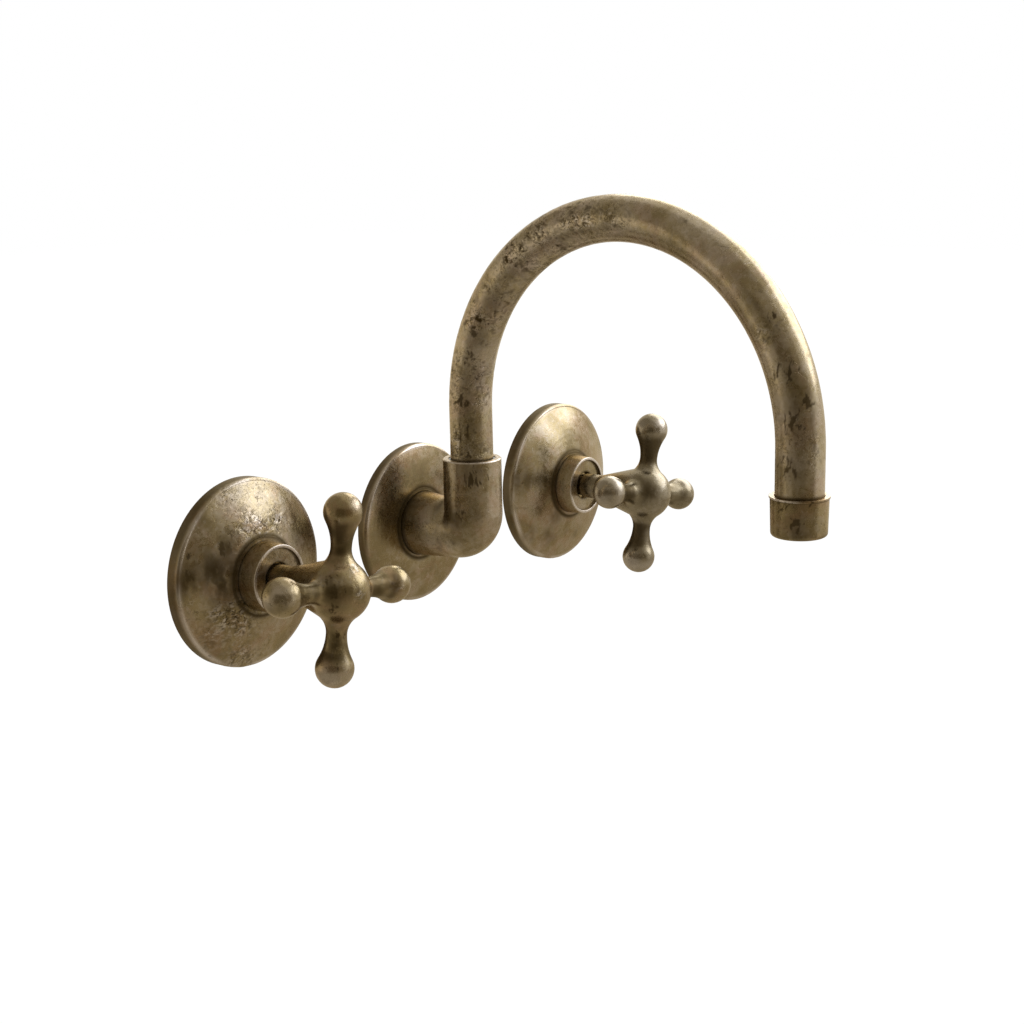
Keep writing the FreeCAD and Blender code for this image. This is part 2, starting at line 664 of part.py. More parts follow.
def aerator_collar():
    """Ring over the tube's end: a fine lip at the top, sides drawn in a little, rounded bottom edge."""
    top = OUTLET_HEIGHT + COLLAR_LENGTH
    lip_bottom = top - COLLAR_LIP_HEIGHT
    foot = COLLAR_R - COLLAR_DRAFT
    round_start = at(foot, OUTLET_HEIGHT + COLLAR_ROUND)
    round_centre = at(foot - COLLAR_ROUND, OUTLET_HEIGHT + COLLAR_ROUND)
    round_middle = round_centre + at(DIAGONAL, -DIAGONAL) * COLLAR_ROUND
    round_end = at(foot - COLLAR_ROUND, OUTLET_HEIGHT)
    mouth = COLLAR_BORE_R - COLLAR_SEAT
    edges = [
        line(round_start, at(COLLAR_R, lip_bottom)),
        line(at(COLLAR_R, lip_bottom), at(COLLAR_R + COLLAR_LIP, lip_bottom)),
        line(at(COLLAR_R + COLLAR_LIP, lip_bottom), at(COLLAR_R + COLLAR_LIP, top)),
        line(at(COLLAR_R + COLLAR_LIP, top), at(COLLAR_BORE_R, top)),
        line(at(COLLAR_BORE_R, top), at(COLLAR_BORE_R, INSERT_BOTTOM)),
        line(at(COLLAR_BORE_R, INSERT_BOTTOM), at(mouth, INSERT_BOTTOM)),
        line(at(mouth, INSERT_BOTTOM), at(mouth, OUTLET_HEIGHT)),
        line(at(mouth, OUTLET_HEIGHT), round_end),
        arc(round_end, round_middle, round_start),
    ]
    return at_tip(turned(edges))


def aerator_washer():
    return at_tip(ring(TUBE_BORE_R, TUBE_R, INSERT_TOP, TUBE_TIP))


def insert_holes():
    """Round holes on a hexagonal grid, as many as the insert's plate holds."""
    reach = TUBE_R - INSERT_WALL - INSERT_HOLE_DIA
    count = int(reach / INSERT_HOLE_PITCH) + 1
    holes = []
    for row in range(-count, count + 1):
        for column in range(-2 * count, 2 * count + 1):
            x = INSERT_HOLE_PITCH * (column + row / 2)
            y = INSERT_HOLE_PITCH * row * math.sqrt(3) / 2
            if math.hypot(x, y) <= reach:
                place = FreeCAD.Vector(x, y, INSERT_BOTTOM)
                holes.append(Part.makeCylinder(INSERT_HOLE_DIA / 2, INSERT_PLATE, place, Z_AXIS))
    return holes


def aerator_insert():
    """A plastic cup whose floor is pierced to straighten the stream."""
    cup = rod(TUBE_R, INSERT_BOTTOM, INSERT_TOP)
    cup = cup.cut(rod(TUBE_R - INSERT_WALL, INSERT_BOTTOM + INSERT_PLATE, INSERT_TOP))
    return at_tip(cup.cut(Part.makeCompound(insert_holes())))


def aerator_screen():
    bottom = INSERT_BOTTOM + INSERT_PLATE
    return at_tip(rod(TUBE_R - INSERT_WALL - FIT, bottom, bottom + SCREEN_THICKNESS))


# Everything is written out as one file for each piece

def save(name, shape):
    shape.exportStep("parts/" + name + ".step")


def save_tap(prefix, side, opening, handle_angle):
    """One tap on its own axis, open by its own distance and with its handle at its own angle."""
    x = side * TAP_SPACING / 2
    pieces = {
        "escutcheon": tap_escutcheon(),
        "sleeve_nut": sleeve_nut(),
        "bonnet": bonnet(),
        "body_washer": body_washer(),
        "gland_packing": gland_packing(),
        "gland_nut": gland_nut(),
        "jumper_valve": screwed_out(jumper_valve(), opening, 0),
        "jumper_washer": screwed_out(jumper_washer(), opening, 0),
        "jumper_nut": screwed_out(jumper_nut(), opening, 0),
        "spindle": screwed_out(spindle(), opening, handle_angle),
        "cross_handle": screwed_out(cross_handle(), opening, handle_angle),
        "handle_screw": screwed_out(handle_screw(), opening, handle_angle),
    }
    for name, shape in pieces.items():
        save(prefix + "_" + name, to_tap(shape, x))


def save_spout():
    save("spout_escutcheon", to_tap(spout_escutcheon(), 0))
    save("escutcheon_ring", to_tap(escutcheon_ring(), 0))
    save("spout_elbow", spout_elbow())
    save("inlet_nipple", to_tap(inlet_nipple(), 0))
    save("swivel_bush", at_swivel(swivel_bush()))
    save("swivel_seals", at_swivel(swivel_seals()))
    save("swivel_screw", swivel_screw())
    save("spout_spigot", spout_spigot())
    save("spout_tube", spout_tube())
    save("aerator_collar", aerator_collar())
    save("aerator_washer", aerator_washer())
    save("aerator_insert", aerator_insert())
    save("aerator_screen", aerator_screen())


os.makedirs("parts", exist_ok=True)
save_tap("hot", -1, HOT_OPENING, HOT_HANDLE_ANGLE)
save_tap("cold", 1, COLD_OPENING, COLD_HANDLE_ANGLE)
save_spout()
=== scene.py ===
"""Looks for a wall-mounted faucet in aged brass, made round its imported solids."""

import itertools
import json
import math

import bpy
import numpy as np
from bpy.props import FloatProperty, FloatVectorProperty, PointerProperty
from mathutils import Matrix, Vector


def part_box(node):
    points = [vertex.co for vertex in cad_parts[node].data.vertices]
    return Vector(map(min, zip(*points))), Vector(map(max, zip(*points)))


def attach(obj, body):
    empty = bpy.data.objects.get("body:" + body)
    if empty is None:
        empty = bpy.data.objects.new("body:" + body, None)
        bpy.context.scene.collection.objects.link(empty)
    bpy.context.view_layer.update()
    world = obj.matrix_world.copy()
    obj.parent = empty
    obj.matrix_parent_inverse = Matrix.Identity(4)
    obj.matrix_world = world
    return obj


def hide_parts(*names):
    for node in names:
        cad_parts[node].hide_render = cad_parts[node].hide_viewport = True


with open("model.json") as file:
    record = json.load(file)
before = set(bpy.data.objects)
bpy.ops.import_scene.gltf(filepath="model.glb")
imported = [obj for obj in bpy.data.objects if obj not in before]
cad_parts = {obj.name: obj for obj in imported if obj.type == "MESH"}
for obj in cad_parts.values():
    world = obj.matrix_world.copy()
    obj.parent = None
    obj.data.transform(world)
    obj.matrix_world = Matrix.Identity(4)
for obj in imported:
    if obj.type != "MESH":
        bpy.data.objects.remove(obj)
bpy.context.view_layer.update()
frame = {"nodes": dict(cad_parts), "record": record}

bl_info = {
    "name": "Wall faucet in aged brass",
    "version": (1, 0, 0),
    "blender": (4, 5, 0),
    "location": "View3D > Sidebar > Faucet",
    "description": "Dresses the packed wall faucet in worn brass and sets its stage",
    "category": "Object",
}

MM = 0.001
TURN = 2 * math.pi
TAPS = ("hot", "cold")
TO_ROOM = (0, -1, 0)
UP = (0, 0, 1)


# Sizes and colours that a user would change

def length(name, millimetres, words):
    """A length property, given in millimetres and kept in metres."""
    return FloatProperty(name=name, description=words, default=millimetres * MM, min=0, unit="LENGTH",
                         subtype="DISTANCE", precision=5)


def share(name, value, words):
    """A property from 0 to 1."""
    return FloatProperty(name=name, description=words, default=value, min=0, max=1, subtype="FACTOR")


def colour(name, value, words):
    """A colour property."""
    return FloatVectorProperty(name=name, description=words, default=value, size=3, min=0, max=1,
                               subtype="COLOR")


def level(name, value, words):
    """A property with no upper limit."""
    return FloatProperty(name=name, description=words, default=value, min=0)


class PlateSizes(bpy.types.PropertyGroup):
    """The cover plates against the wall."""
    tap_rim: length("Tap rim", 6.0, "Height of the straight rim of a tap's plate")
    spout_rim: length("Spout rim", 4.8, "Height of the straight rim of the spout's plate")
    edge_round: length("Edge round", 1.3, "Radius between rim and face")
    crown: length("Crown", 0.7, "How far the face bulges above a straight cone")
    wall: length("Wall", 1.5, "Thickness of the spun sheet")
    tap_land: length("Tap land", 1.6, "Width of the land round a tap's sleeve")
    tap_step: length("Tap step", 0.6, "Height of that land")
    tap_hole: length("Tap hole", 10.8, "Radius of the hole in a tap's plate")
    spout_land: length("Spout land", 1.4, "Width of the land round the elbow")
    spout_step: length("Spout step", 0.3, "Height of that land")
    spout_hole: length("Spout hole", 13.85, "Radius of the hole in the spout's plate")
    worn_edge: length("Worn edge", 0.35, "How far worn corners are rounded back")


class SleeveSizes(bpy.types.PropertyGroup):
    """The short barrel in front of a tap's plate."""
    narrowing: length("Narrowing", 0.7, "How much smaller its radius is at the front")
    wall: length("Wall", 1.2, "Thickness of the cup's edge")
    recess: length("Recess", 1.2, "Depth of the cup")
    floor: length("Floor", 1.5, "Thickness of the cup's floor")
    thread: length("Thread", 10.55, "Radius of the bore over the bonnet")
    shank_hole: length("Shank hole", 6.3, "Radius of the hole in the floor")
    worn_edge: length("Worn edge", 0.25, "How far worn corners are rounded back")


class CastSizes(bpy.types.PropertyGroup):
    """Places on the cast handles and the elbow that wear, or take painted shade, in their own way."""
    socket: length("Socket", 4.7, "Radius round a handle's socket that stays true")
    arm_end: length("Arm end", 12.0, "Length of the rubbed end of an arm")
    arm_tip: length("Arm tip", 4.0, "Length of its most rubbed part")
    neck_end: length("Neck end", 8.0, "How far from the tip the dark neck has faded out")
    hub_inset: length("Hub inset", 3.0, "How far inside half an arm's reach the hub ends")
    bore: length("Bore", 10.9, "Radius round the elbow's bores that stays true")
    mouth: length("Mouth", 10.2, "Radius of the bore at the socket's edge")
    tail: length("Tail", 6.0, "Length of the elbow's hidden end")
    corner_out: length("Corner out", 13.0, "How far the elbow's inner corner lies from the socket's axis")
    corner_up: length("Corner up", 13.5, "How far it lies over the boss's axis")


class SpoutSizes(bpy.types.PropertyGroup):
    """The bent tube and the collar on its tip."""
    tube_wall: length("Tube wall", 1.5, "Thickness of the tube")
    collar_lip: length("Collar lip", 0.35, "How far the collar's top lip stands out")
    collar_lip_height: length("Collar lip height", 0.8, "Height of that lip")
    collar_draft: length("Collar draft", 0.35, "How much the collar draws in towards its foot")
    collar_round: length("Collar round", 1.4, "Radius of the collar's lower edge")
    collar_floor: length("Collar floor", 1.0, "Thickness of the lip that carries the aerator")
    collar_seat: length("Collar seat", 1.2, "Width of that lip")
    collar_fit: length("Collar fit", 0.05, "Play between the collar and the tube")
    collar_edge: length("Collar edge", 0.2, "How far the collar's worn corners are rounded back")
    wire: length("Screen wire", 0.09, "Radius of a wire of the aerator's screen")
    wire_pitch: length("Screen pitch", 0.8, "Distance between the screen's wires")


class ThreadSizes(bpy.types.PropertyGroup):
    """Threads, hexagons and bores of the pieces in the wall."""
    pitch: length("Pitch", 1.814, "Pitch of the half-inch pipe thread")
    depth: length("Depth", 1.0, "Depth of the pipe thread")
    outside: length("Outside", 10.4775, "Outside radius of the pipe thread")
    relief: length("Relief", 1.2, "Depth of the relief next to a thread")
    washer: length("Washer", 1.5, "Thickness of the washer behind the bonnet's hexagon")
    hexagon: length("Hexagon", 5.0, "Height of the bonnet's hexagon")
    chamfer: length("Chamfer", 0.7, "Chamfer on the corners of the hexagons")
    barrel: length("Barrel", 10.5, "Radius of the bonnet's barrel")
    gland_bore: length("Gland bore", 7.05, "Radius of the gland box")
    gland_depth: length("Gland depth", 9.0, "Depth of the gland box")
    guide_bore: length("Guide bore", 4.65, "Radius of the spindle's guide")
    guide: length("Guide", 2.5, "Length of the spindle's guide")
    spindle_bore: length("Spindle bore", 6.05, "Radius of the bore for the spindle's screw")
    waterway: length("Waterway", 6.5, "Radius of the nipple's bore")
    nipple_neck: length("Nipple neck", 1.5, "Distance from the wall to the nipple's outer thread")
    nipple_seat: length("Nipple seat", 0.5, "Distance from the wall to the nipple's inner thread")
    stud_hole: length("Stud hole", 2.05, "Radius of the hole in the jumper nut")


class AgeSizes(bpy.types.PropertyGroup):
    """Relief that age and handling leave on the brass."""
    grid: length("Grid", 0.45, "Largest side of a face on the seen surfaces")
    back_grid: length("Back grid", 2.5, "Largest side of a face on hidden surfaces")
    wave: length("Wave", 0.06, "Height of the slow waves of hand finishing")
    crumple: length("Crumple", 0.30, "Depth of the crumples in the worn patches")
    furrow: length("Furrow", 0.14, "Depth of the wrinkled furrows")
    pit: length("Pit", 0.20, "Depth of the pits")
    stray: share("Stray marks", 0.3, "How much of the relief lies outside the worn patches")


class Finish(bpy.types.PropertyGroup):
    """Colours of the materials."""
    rubbed: colour("Rubbed brass", (0.58, 0.50, 0.41), "Brass where it is rubbed bright")
    aged: colour("Aged brass", (0.25, 0.184, 0.083), "Brass under a thin olive film")
    dull: colour("Dull brass", (0.213, 0.169, 0.098), "Greyer film on the cold tap's handle")
    olive: colour("Olive brass", (0.262, 0.190, 0.070), "Stronger film on the spout's tube")
    copper: colour("Copper film", (0.275, 0.176, 0.088), "Film where it has turned reddish")
    # The brown patina also paints the shade in corners, grooves and shaded patches.
    patina: colour("Brown patina", (0.050, 0.031, 0.009), "Dark patina in hollows and blotches")
    # Turned brass is kept dark, partly greasy brass and partly painted shade for the spindle seen in the gap
    # where a handle's shank enters its sleeve.
    turned: colour("Turned brass", (0.38, 0.27, 0.12), "Bare machined brass of the hidden pieces")
    rubber: colour("Rubber", (0.027, 0.022, 0.017), "Seals and washers")
    fibre: colour("Fibre", (0.20, 0.042, 0.022), "Pressed fibre washers")
    packing: colour("Packing", (0.62, 0.60, 0.53), "Gland packing")
    acetal: colour("Acetal", (0.72, 0.67, 0.58), "Plastic bush and aerator insert")
    steel: colour("Steel", (0.42, 0.41, 0.39), "Grub screws and wire screen")


class StageSettings(bpy.types.PropertyGroup):
    """Floor, lamps and camera."""
    floor_drop: length("Floor drop", 520.0, "How far the floor lies below the origin")
    focal: FloatProperty(name="Focal length", description="Lens of the camera", default=59.849, unit="CAMERA")
    window: level("Window lamp", 4.5, "Radiance of the large lamp on the right")
    window_tint: colour("Window tint", (0.72, 0.80, 1.0), "Colour of the lamp")
    fill: share("Fill", 0.5, "Strength of the white surroundings on matt surfaces")
    screen_tint: colour("Screen tint", (1.0, 0.93, 0.81), "Colour of the screens that the metal mirrors")
    side_screen: share("Side screen", 0.44, "Brightness of the screen on the left and above")
    low_screen: share("Low screen", 0.60, "Brightness of the screen below")
    edge_strip: share("Edge strip", 1.0, "Brightness of the strip that lights the left edges")
    dark_flag: share("Dark flag", 0.15, "Brightness of the dark flag behind the camera")
    half_flag: share("Half flag", 0.25, "Brightness of the flag on its right")
    low_flag: share("Low flag", 0.45, "Brightness of the flag under it")
    flag_tint: colour("Flag tint", (1.0, 0.83, 0.54), "Colour of the dark and the half flag")


# Shapes as whole arrays

def soften(corners, cut, samples=5):
    """A closed polygon whose corners are cut back: each corner becomes a parabola that leaves one side and
    joins the next at the cut length, or at 0.45 of the shorter side if that is less."""
    before = corners - np.roll(corners, 1, axis=0)
    after = np.roll(corners, -1, axis=0) - corners
    size_before = np.linalg.norm(before, axis=1, keepdims=True)
    size_after = np.linalg.norm(after, axis=1, keepdims=True)
    back = np.minimum(cut, 0.45 * np.minimum(size_before, size_after))
    start = corners - before / size_before * back
    end = corners + after / size_after * back
    t = np.linspace(0, 1, samples)[None, :, None]
    curve = (1 - t) ** 2 * start[:, None] + 2 * t * (1 - t) * corners[:, None] + t * t * end[:, None]
    return curve.reshape(-1, 2)


def densify(points, step):
    """A closed line with points added so that no side is longer than the step given for it."""
    ends = np.roll(points, -1, axis=0)
    parts = np.maximum(1, np.ceil(np.linalg.norm(ends - points, axis=1) / step)).astype(int)
    side = np.repeat(np.arange(len(points)), parts)
    place = (np.arange(parts.sum()) - np.repeat(np.cumsum(parts) - parts, parts)) / parts[side]
    return points[side] + (ends - points)[side] * place[:, None]


def angles(around):
    """Equal steps once round a circle."""
    return np.linspace(0, TURN, around, endpoint=False)


def turned(radius, height, centre, axis, up):
    """A turned surface: the point at (profile place, angle) lies at the centre, plus height along the axis,
    plus radius times the cosine and sine of the angle across it. radius has one row per profile place and
    one column per angle, so it can also carry threads and hexagons."""
    axis = np.asarray(axis, float)
    across = np.asarray(up, float)
    angle = angles(radius.shape[1])
    spread = np.cos(angle)[:, None] * across + np.sin(angle)[:, None] * np.cross(axis, across)
    return np.asarray(centre, float) + height[:, None, None] * axis + radius[:, :, None] * spread[None]


def round_rows(profile, around):
    """Radius table and heights of a plain round profile of (radius, height) points."""
    return np.repeat(profile[:, :1], around, axis=1), profile[:, 1]


def grid_faces(rows, columns, open_rows=False, open_columns=False):
    """Four-sided faces of a grid that closes on itself down its rows and across its columns unless open."""
    i, j = np.meshgrid(np.arange(rows - open_rows), np.arange(columns - open_columns), indexing="ij")
    i1, j1 = (i + 1) % rows, (j + 1) % columns
    corners = [i * columns + j, i * columns + j1, i1 * columns + j1, i1 * columns + j]
    return np.stack(corners, axis=-1).reshape(-1, 4)


def round_piece(profile, around, centre, axis, up):
    """Points and faces of a plain turned piece, and how far out and how high each point lies."""
    points = turned(*round_rows(profile, around), centre, axis, up).reshape(-1, 3)
    out, height = np.repeat(profile, around, axis=0).T
    return points, grid_faces(len(profile), around), out, height


def outward(points, faces):
    """The faces, turned to point out of the solid: the sign of the volume that they close decides."""
    corners = points[faces] - points.mean(axis=0)
    volume = (corners[:, 0] * np.cross(corners[:, 1], corners[:, 2])).sum()
    if faces.shape[1] == 4:
        volume += (corners[:, 0] * np.cross(corners[:, 2], corners[:, 3])).sum()
    return faces if volume > 0 else faces[:, ::-1]


def normals_of(points, faces):
    """Unit normals at the points: the sum of the cross products of the diagonals or sides of their faces."""
    corners = points[faces]
    if faces.shape[1] == 4:
        face = np.cross(corners[:, 2] - corners[:, 0], corners[:, 3] - corners[:, 1])
    else:
        face = np.cross(corners[:, 1] - corners[:, 0], corners[:, 2] - corners[:, 0])
    sums = [np.bincount(faces.ravel(), np.repeat(face[:, k], faces.shape[1]), len(points)) for k in range(3)]
    total = np.stack(sums, axis=1)
    return total / np.maximum(np.linalg.norm(total, axis=1, keepdims=True), 1e-15)


WELD = 0.0005 * MM


def welded(points, faces):
    """The same surface with points at one place joined, and faces that shrink to a line left out."""
    keys = np.round(points / WELD).astype(np.int64)
    first, place = np.unique(keys, axis=0, return_index=True, return_inverse=True)[1:]
    faces = place.ravel()[faces]
    whole = (faces[:, 0] != faces[:, 1]) & (faces[:, 1] != faces[:, 2]) & (faces[:, 2] != faces[:, 0])
    return points[first], faces[whole]


def solid_mesh(node):
    """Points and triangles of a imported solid."""
    mesh = frame["nodes"][node].data
    mesh.calc_loop_triangles()
    points = np.empty(len(mesh.vertices) * 3, np.float32)
    mesh.vertices.foreach_get("co", points)
    faces = np.empty(len(mesh.loop_triangles) * 3, np.int32)
    mesh.loop_triangles.foreach_get("vertices", faces)
    return welded(points.reshape(-1, 3).astype(float), faces.reshape(-1, 3))


# Triangles that take the place of one, by how many of its sides are cut. Numbers 0 to 2 are its corners, and
# 3 to 5 are the middles of the sides that start at them.
SPLITS = {
    0: [(0, 1, 2)],
    1: [(0, 3, 2), (3, 1, 2)],
    2: [(3, 1, 4), (0, 3, 4), (0, 4, 2)],
    3: [(0, 3, 5), (3, 1, 4), (5, 4, 2), (3, 4, 5)],
}


def halved(points, faces, step):
    """Triangles cut at the middle of every side longer than the step, again and again until none is left."""
    while True:
        ends = faces[:, [[0, 1], [1, 2], [2, 0]]]
        low, high = ends.min(axis=2), ends.max(axis=2)
        keys, place = np.unique(low * len(points) + high, return_inverse=True)
        place = place.reshape(low.shape)
        start, end = points[keys // len(points)], points[keys % len(points)]
        cut = np.linalg.norm(end - start, axis=1) > step
        if not cut.any():
            return points, faces
        middle = np.where(cut, len(points) + np.cumsum(cut) - 1, -1)[place]
        points = np.vstack([points, (start[cut] + end[cut]) / 2])
        number = (middle >= 0).sum(axis=1)
        first = np.where(number == 1, np.argmax(middle >= 0, axis=1), 0)
        first = np.where(number == 2, (np.argmax(middle < 0, axis=1) + 1) % 3, first)
        order = (first[:, None] + np.arange(3)) % 3
        places = np.hstack([np.take_along_axis(table, order, axis=1) for table in (faces, middle)])
        faces = np.vstack([places[number == cuts][:, triangle]
                           for cuts, triangles in SPLITS.items() for triangle in triangles])


# Noise and ageing

PLACE_MIX = np.array((374761393, 668265263, 2147483647))
SEED_MIX = 1274126177


def lattice(points, seed):
    """Smooth random values from -1 to 1: random numbers at the whole-number lattice points, blended across
    each cell by the smoothstep of the place in it."""
    cell = np.floor(points).astype(np.int64)
    place = points - cell
    ease = place * place * (3 - 2 * place)
    total = np.zeros(points.shape[:-1])
    for corner in itertools.product((0, 1), repeat=3):
        hashed = (cell + np.array(corner)) @ PLACE_MIX + seed * SEED_MIX
        hashed = (hashed ^ (hashed >> 13)) * SEED_MIX
        value = ((hashed ^ (hashed >> 16)) & 0xFFFF) / 0xFFFF
        total += value * np.where(np.array(corner) == 1, ease, 1 - ease).prod(axis=-1)
    return total * 2 - 1


def cloud(points, size, octaves, seed):
    """Layered lattice noise: each layer has half the size and 0.55 of the height of the one before."""
    total = np.zeros(points.shape[:-1])
    height, summed = 1.0, 0.0
    for layer in range(octaves):
        total += height * lattice(points / size * 2 ** layer + 17 * layer, seed + layer)
        summed += height
        height *= 0.55
    return total / summed


def smooth(low, high, value):
    """0 below low, 1 above high, and a smoothstep between."""
    t = np.clip((value - low) / (high - low), 0, 1)
    return t * t * (3 - 2 * t)


def near(value, place, width):
    """1 where a value is at a place, falling to 0 over a width."""
    return np.exp(-((value - place) / width) ** 2)


def patchwork(points, patches):
    """Weight of worn patches, each a soft ball of (x, y, z, radius, strength) in millimetres."""
    total = np.zeros(len(points))
    for x, y, z, radius, strength in patches:
        away = ((points - np.array((x, y, z)) * MM) ** 2).sum(axis=1)
        total = np.maximum(total, strength * np.exp(-away / (radius * MM) ** 2))
    return total


# Noises of the wear: size in millimetres, layers, and what is added to the piece's seed
GRAINS = {
    "stray": (16, 2, 0), "ragged": (5, 2, 71), "crumple": (5, 2, 81), "broken": (1.6, 1, 17),
    "furrow": (2.1, 2, 11), "pit": (1.6, 2, 23), "streak": (0.9, 3, 31), "shade": (3.5, 3, 91),
    "flake": (1.6, 2, 61), "wave": (13, 2, 41), "warp_x": (2.2, 1, 51), "warp_y": (2.2, 1, 52),
    "warp_z": (2.2, 1, 53),
}
WARP = 0.8 * MM


def aged(points, normals, front, wear, seed):
    """Sinks a surface along its normals by slow waves, by crumples (the height of a noise above or below
    zero), by furrows (thin level lines where a noise crosses zero) and by pits (where a finer noise is high).
    Returns it with three masks: the dark of the marks and upright stains together with the shaded patches,
    which are dark blotches mixed with painted shade and painted dark reflections; the bare flakes between the
    marks; and how marked each place is. front is 0 where the surface stays true."""
    size = bpy.context.scene.faucet_age

    def grain(kind, at):
        across, layers, added = GRAINS[kind]
        return cloud(at, across * MM, layers, seed + added)

    def patches(kind):
        return patchwork(points, wear.get(kind, ()))

    warp = points + WARP * np.stack([grain(kind, points) for kind in ("warp_x", "warp_y", "warp_z")], axis=1)
    lying, upright, drawn = warp * (1, 1, 1.7), warp * (1, 1, 0.5), warp * (1, 1, 0.35)
    stray = size.stray * smooth(0.15, 0.6, grain("stray", points))
    ragged = 0.8 + 0.5 * grain("ragged", warp)
    wrinkled = np.clip(np.maximum(patches("furrows") * ragged, 0.5 * stray), 0, 1)
    pitted = np.clip(np.maximum(patches("pits") * ragged, 0.5 * stray), 0, 1)
    crumple = np.abs(grain("crumple", lying)) * wrinkled
    broken = smooth(-0.25, 0.15, grain("broken", warp))
    furrow = near(grain("furrow", lying), 0, 0.13) * broken * wrinkled
    pit = smooth(0.22, 0.40, grain("pit", warp)) * pitted
    stained = patches("stains")
    stain = smooth(0.27, 0.46, 0.42 * stained + 0.9 * grain("streak", drawn) * np.sqrt(stained))
    shade = patches("shade") * smooth(-0.6, 0.3, grain("shade", upright))
    flake = smooth(-0.1, 0.3, grain("flake", lying)) * np.maximum(wrinkled, 0.7 * pitted)
    wave = (grain("wave", points) - 1) / 2
    sunk = size.wave * wave - size.crumple * crumple - size.furrow * furrow - size.pit * pit
    moved = points + normals * (sunk * front)[:, None]
    # The shade patches are painted shade and painted dark reflections over dark blotches; they join the dark
    # marks and stains in one mask.
    tarnish = np.maximum(np.maximum(1.2 * furrow + pit, 0.9 * stain), 0.78 * shade)
    tarnish = np.clip(tarnish, 0, 1) * front
    return moved, {"tarnish": tarnish, "rubbed": 0.75 * flake * (1 - tarnish) * front,
                   "marked": np.maximum(wrinkled, pitted) * front}


# Pieces

def mesh_piece(name, node, points, faces, body, material, masks=None, sharp=40):
    """An object at the origin from points and faces, riding on a body and standing for a CAD node."""
    faces = outward(points, faces)
    mesh = bpy.data.meshes.new(name)
    mesh.from_pydata(points.tolist(), [], faces.tolist())
    mesh.polygons.foreach_set("use_smooth", np.ones(len(mesh.polygons), bool))
    mesh.set_sharp_from_angle(angle=math.radians(sharp))
    for mask, values in (masks or {}).items():
        layer = mesh.attributes.new(mask, "FLOAT", "POINT")
        layer.data.foreach_set("value", np.ascontiguousarray(values, np.float32).ravel())
    mesh.materials.append(material)
    mesh.update()
    made = bpy.data.objects.new(name, mesh)
    bpy.context.scene.collection.objects.link(made)
    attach(made, body)
    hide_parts(node)


def worn_piece(node, body, look, points, faces, front, rubbed, painted_shade):
    """An aged brass piece in place of a CAD node, from its plain surface and its masks. The last mask is
    painted shade, darker in corners, grooves and recesses, and joins the dark marks; rubbed is where the
    brass is rubbed bright, and on edges it is also a painted highlight.
    """
    faces = outward(points, faces)
    points, masks = aged(points, normals_of(points, faces), front, WEAR.get(node, {}), SEEDS[node])
    masks["tarnish"] = np.maximum(masks["tarnish"], painted_shade)
    masks["rubbed"] = np.maximum(masks["rubbed"], rubbed)
    mesh_piece("worn_" + node, node, points, faces, body, worn_brass(look), masks)


def middle_of(node):
    """The middle of a node's box."""
    low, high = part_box(node)
    return (low + high) / 2


# Materials

def set_inputs(tree, node, values):
    """Joins a node's inputs to sockets, or sets them to plain values."""
    for key, value in values.items():
        if isinstance(value, bpy.types.NodeSocket):
            tree.links.new(value, node.inputs[key])
        else:
            node.inputs[key].default_value = value


def add(tree, kind, values=None, **settings):
    """A new shader node with its settings and its inputs."""
    made = tree.nodes.new("ShaderNode" + kind)
    for key, value in settings.items():
        setattr(made, key, value)
    set_inputs(tree, made, values or {})
    return made


def maths(tree, operation, a, b=0.0, clamp=False):
    """The value of a Math node."""
    return add(tree, "Math", {0: a, 1: b}, operation=operation, use_clamp=clamp).outputs[0]


def times(tree, a, b):
    """One value times another."""
    return maths(tree, "MULTIPLY", a, b)


def plus(tree, a, b, clamp=False):
    """The sum of two values."""
    return maths(tree, "ADD", a, b, clamp)


def minus(tree, a, b):
    """One value less another."""
    return maths(tree, "SUBTRACT", a, b)


def larger(tree, a, b, clamp=False):
    """The larger of two values."""
    return maths(tree, "MAXIMUM", a, b, clamp)


def ramp(tree, value, low, high, to_low=0.0, to_high=1.0):
    """A smooth step of a value between two levels."""
    values = {"Value": value, "From Min": low, "From Max": high, "To Min": to_low, "To Max": to_high}
    return add(tree, "MapRange", values, interpolation_type="SMOOTHSTEP").outputs["Result"]


def mixed(tree, factor, a, b):
    """A mix of two colours. Sockets 0, 6 and 7 of the Mix node are its factor and its two colours."""
    return add(tree, "Mix", {0: factor, 6: a, 7: b}, data_type="RGBA").outputs[2]


def object_place(tree):
    """A place in the object's own coordinates."""
    return add(tree, "TexCoord").outputs["Object"]


def noise(tree, place, scale, detail, roughness, distortion=0.0):
    """The value of a noise texture."""
    values = {"Vector": place, "Scale": scale, "Detail": detail, "Roughness": roughness,
              "Distortion": distortion}
    return add(tree, "TexNoise", values).outputs["Fac"]


def new_group(name, inputs, outputs):
    """A shader node group with named sockets, the sockets it is given and its output node."""
    made = bpy.data.node_groups.new(name, "ShaderNodeTree")
    for label, kind, value in inputs:
        socket = made.interface.new_socket(label, in_out="INPUT", socket_type="NodeSocket" + kind)
        socket.default_value = value
    for label, kind in outputs:
        made.interface.new_socket(label, in_out="OUTPUT", socket_type="NodeSocket" + kind)
    return made, made.nodes.new("NodeGroupInput").outputs, made.nodes.new("NodeGroupOutput")


def rgba(values):
    """A colour with full alpha."""
    return (*values, 1.0)


# Masks that a piece carries; the first is dark marks and stains together with painted shade.
MASKS = ("tarnish", "rubbed", "marked")
# Noises of the worn brass: scale, detail, roughness and distortion
BRASS_NOISES = {
    "film": (55.0, 3.0, 0.55, 0.4), "hue": (70.0, 3.0, 0.60, 0.8), "mottle": (330.0, 5.0, 0.62, 0.7),
    "flakes": (560.0, 5.0, 0.64, 1.3), "lines": (260.0, 3.0, 0.55, 1.6), "cluster": (85.0, 2.0, 0.50, 0.3),
    "blotch": (95.0, 5.0, 0.66, 0.6),
}


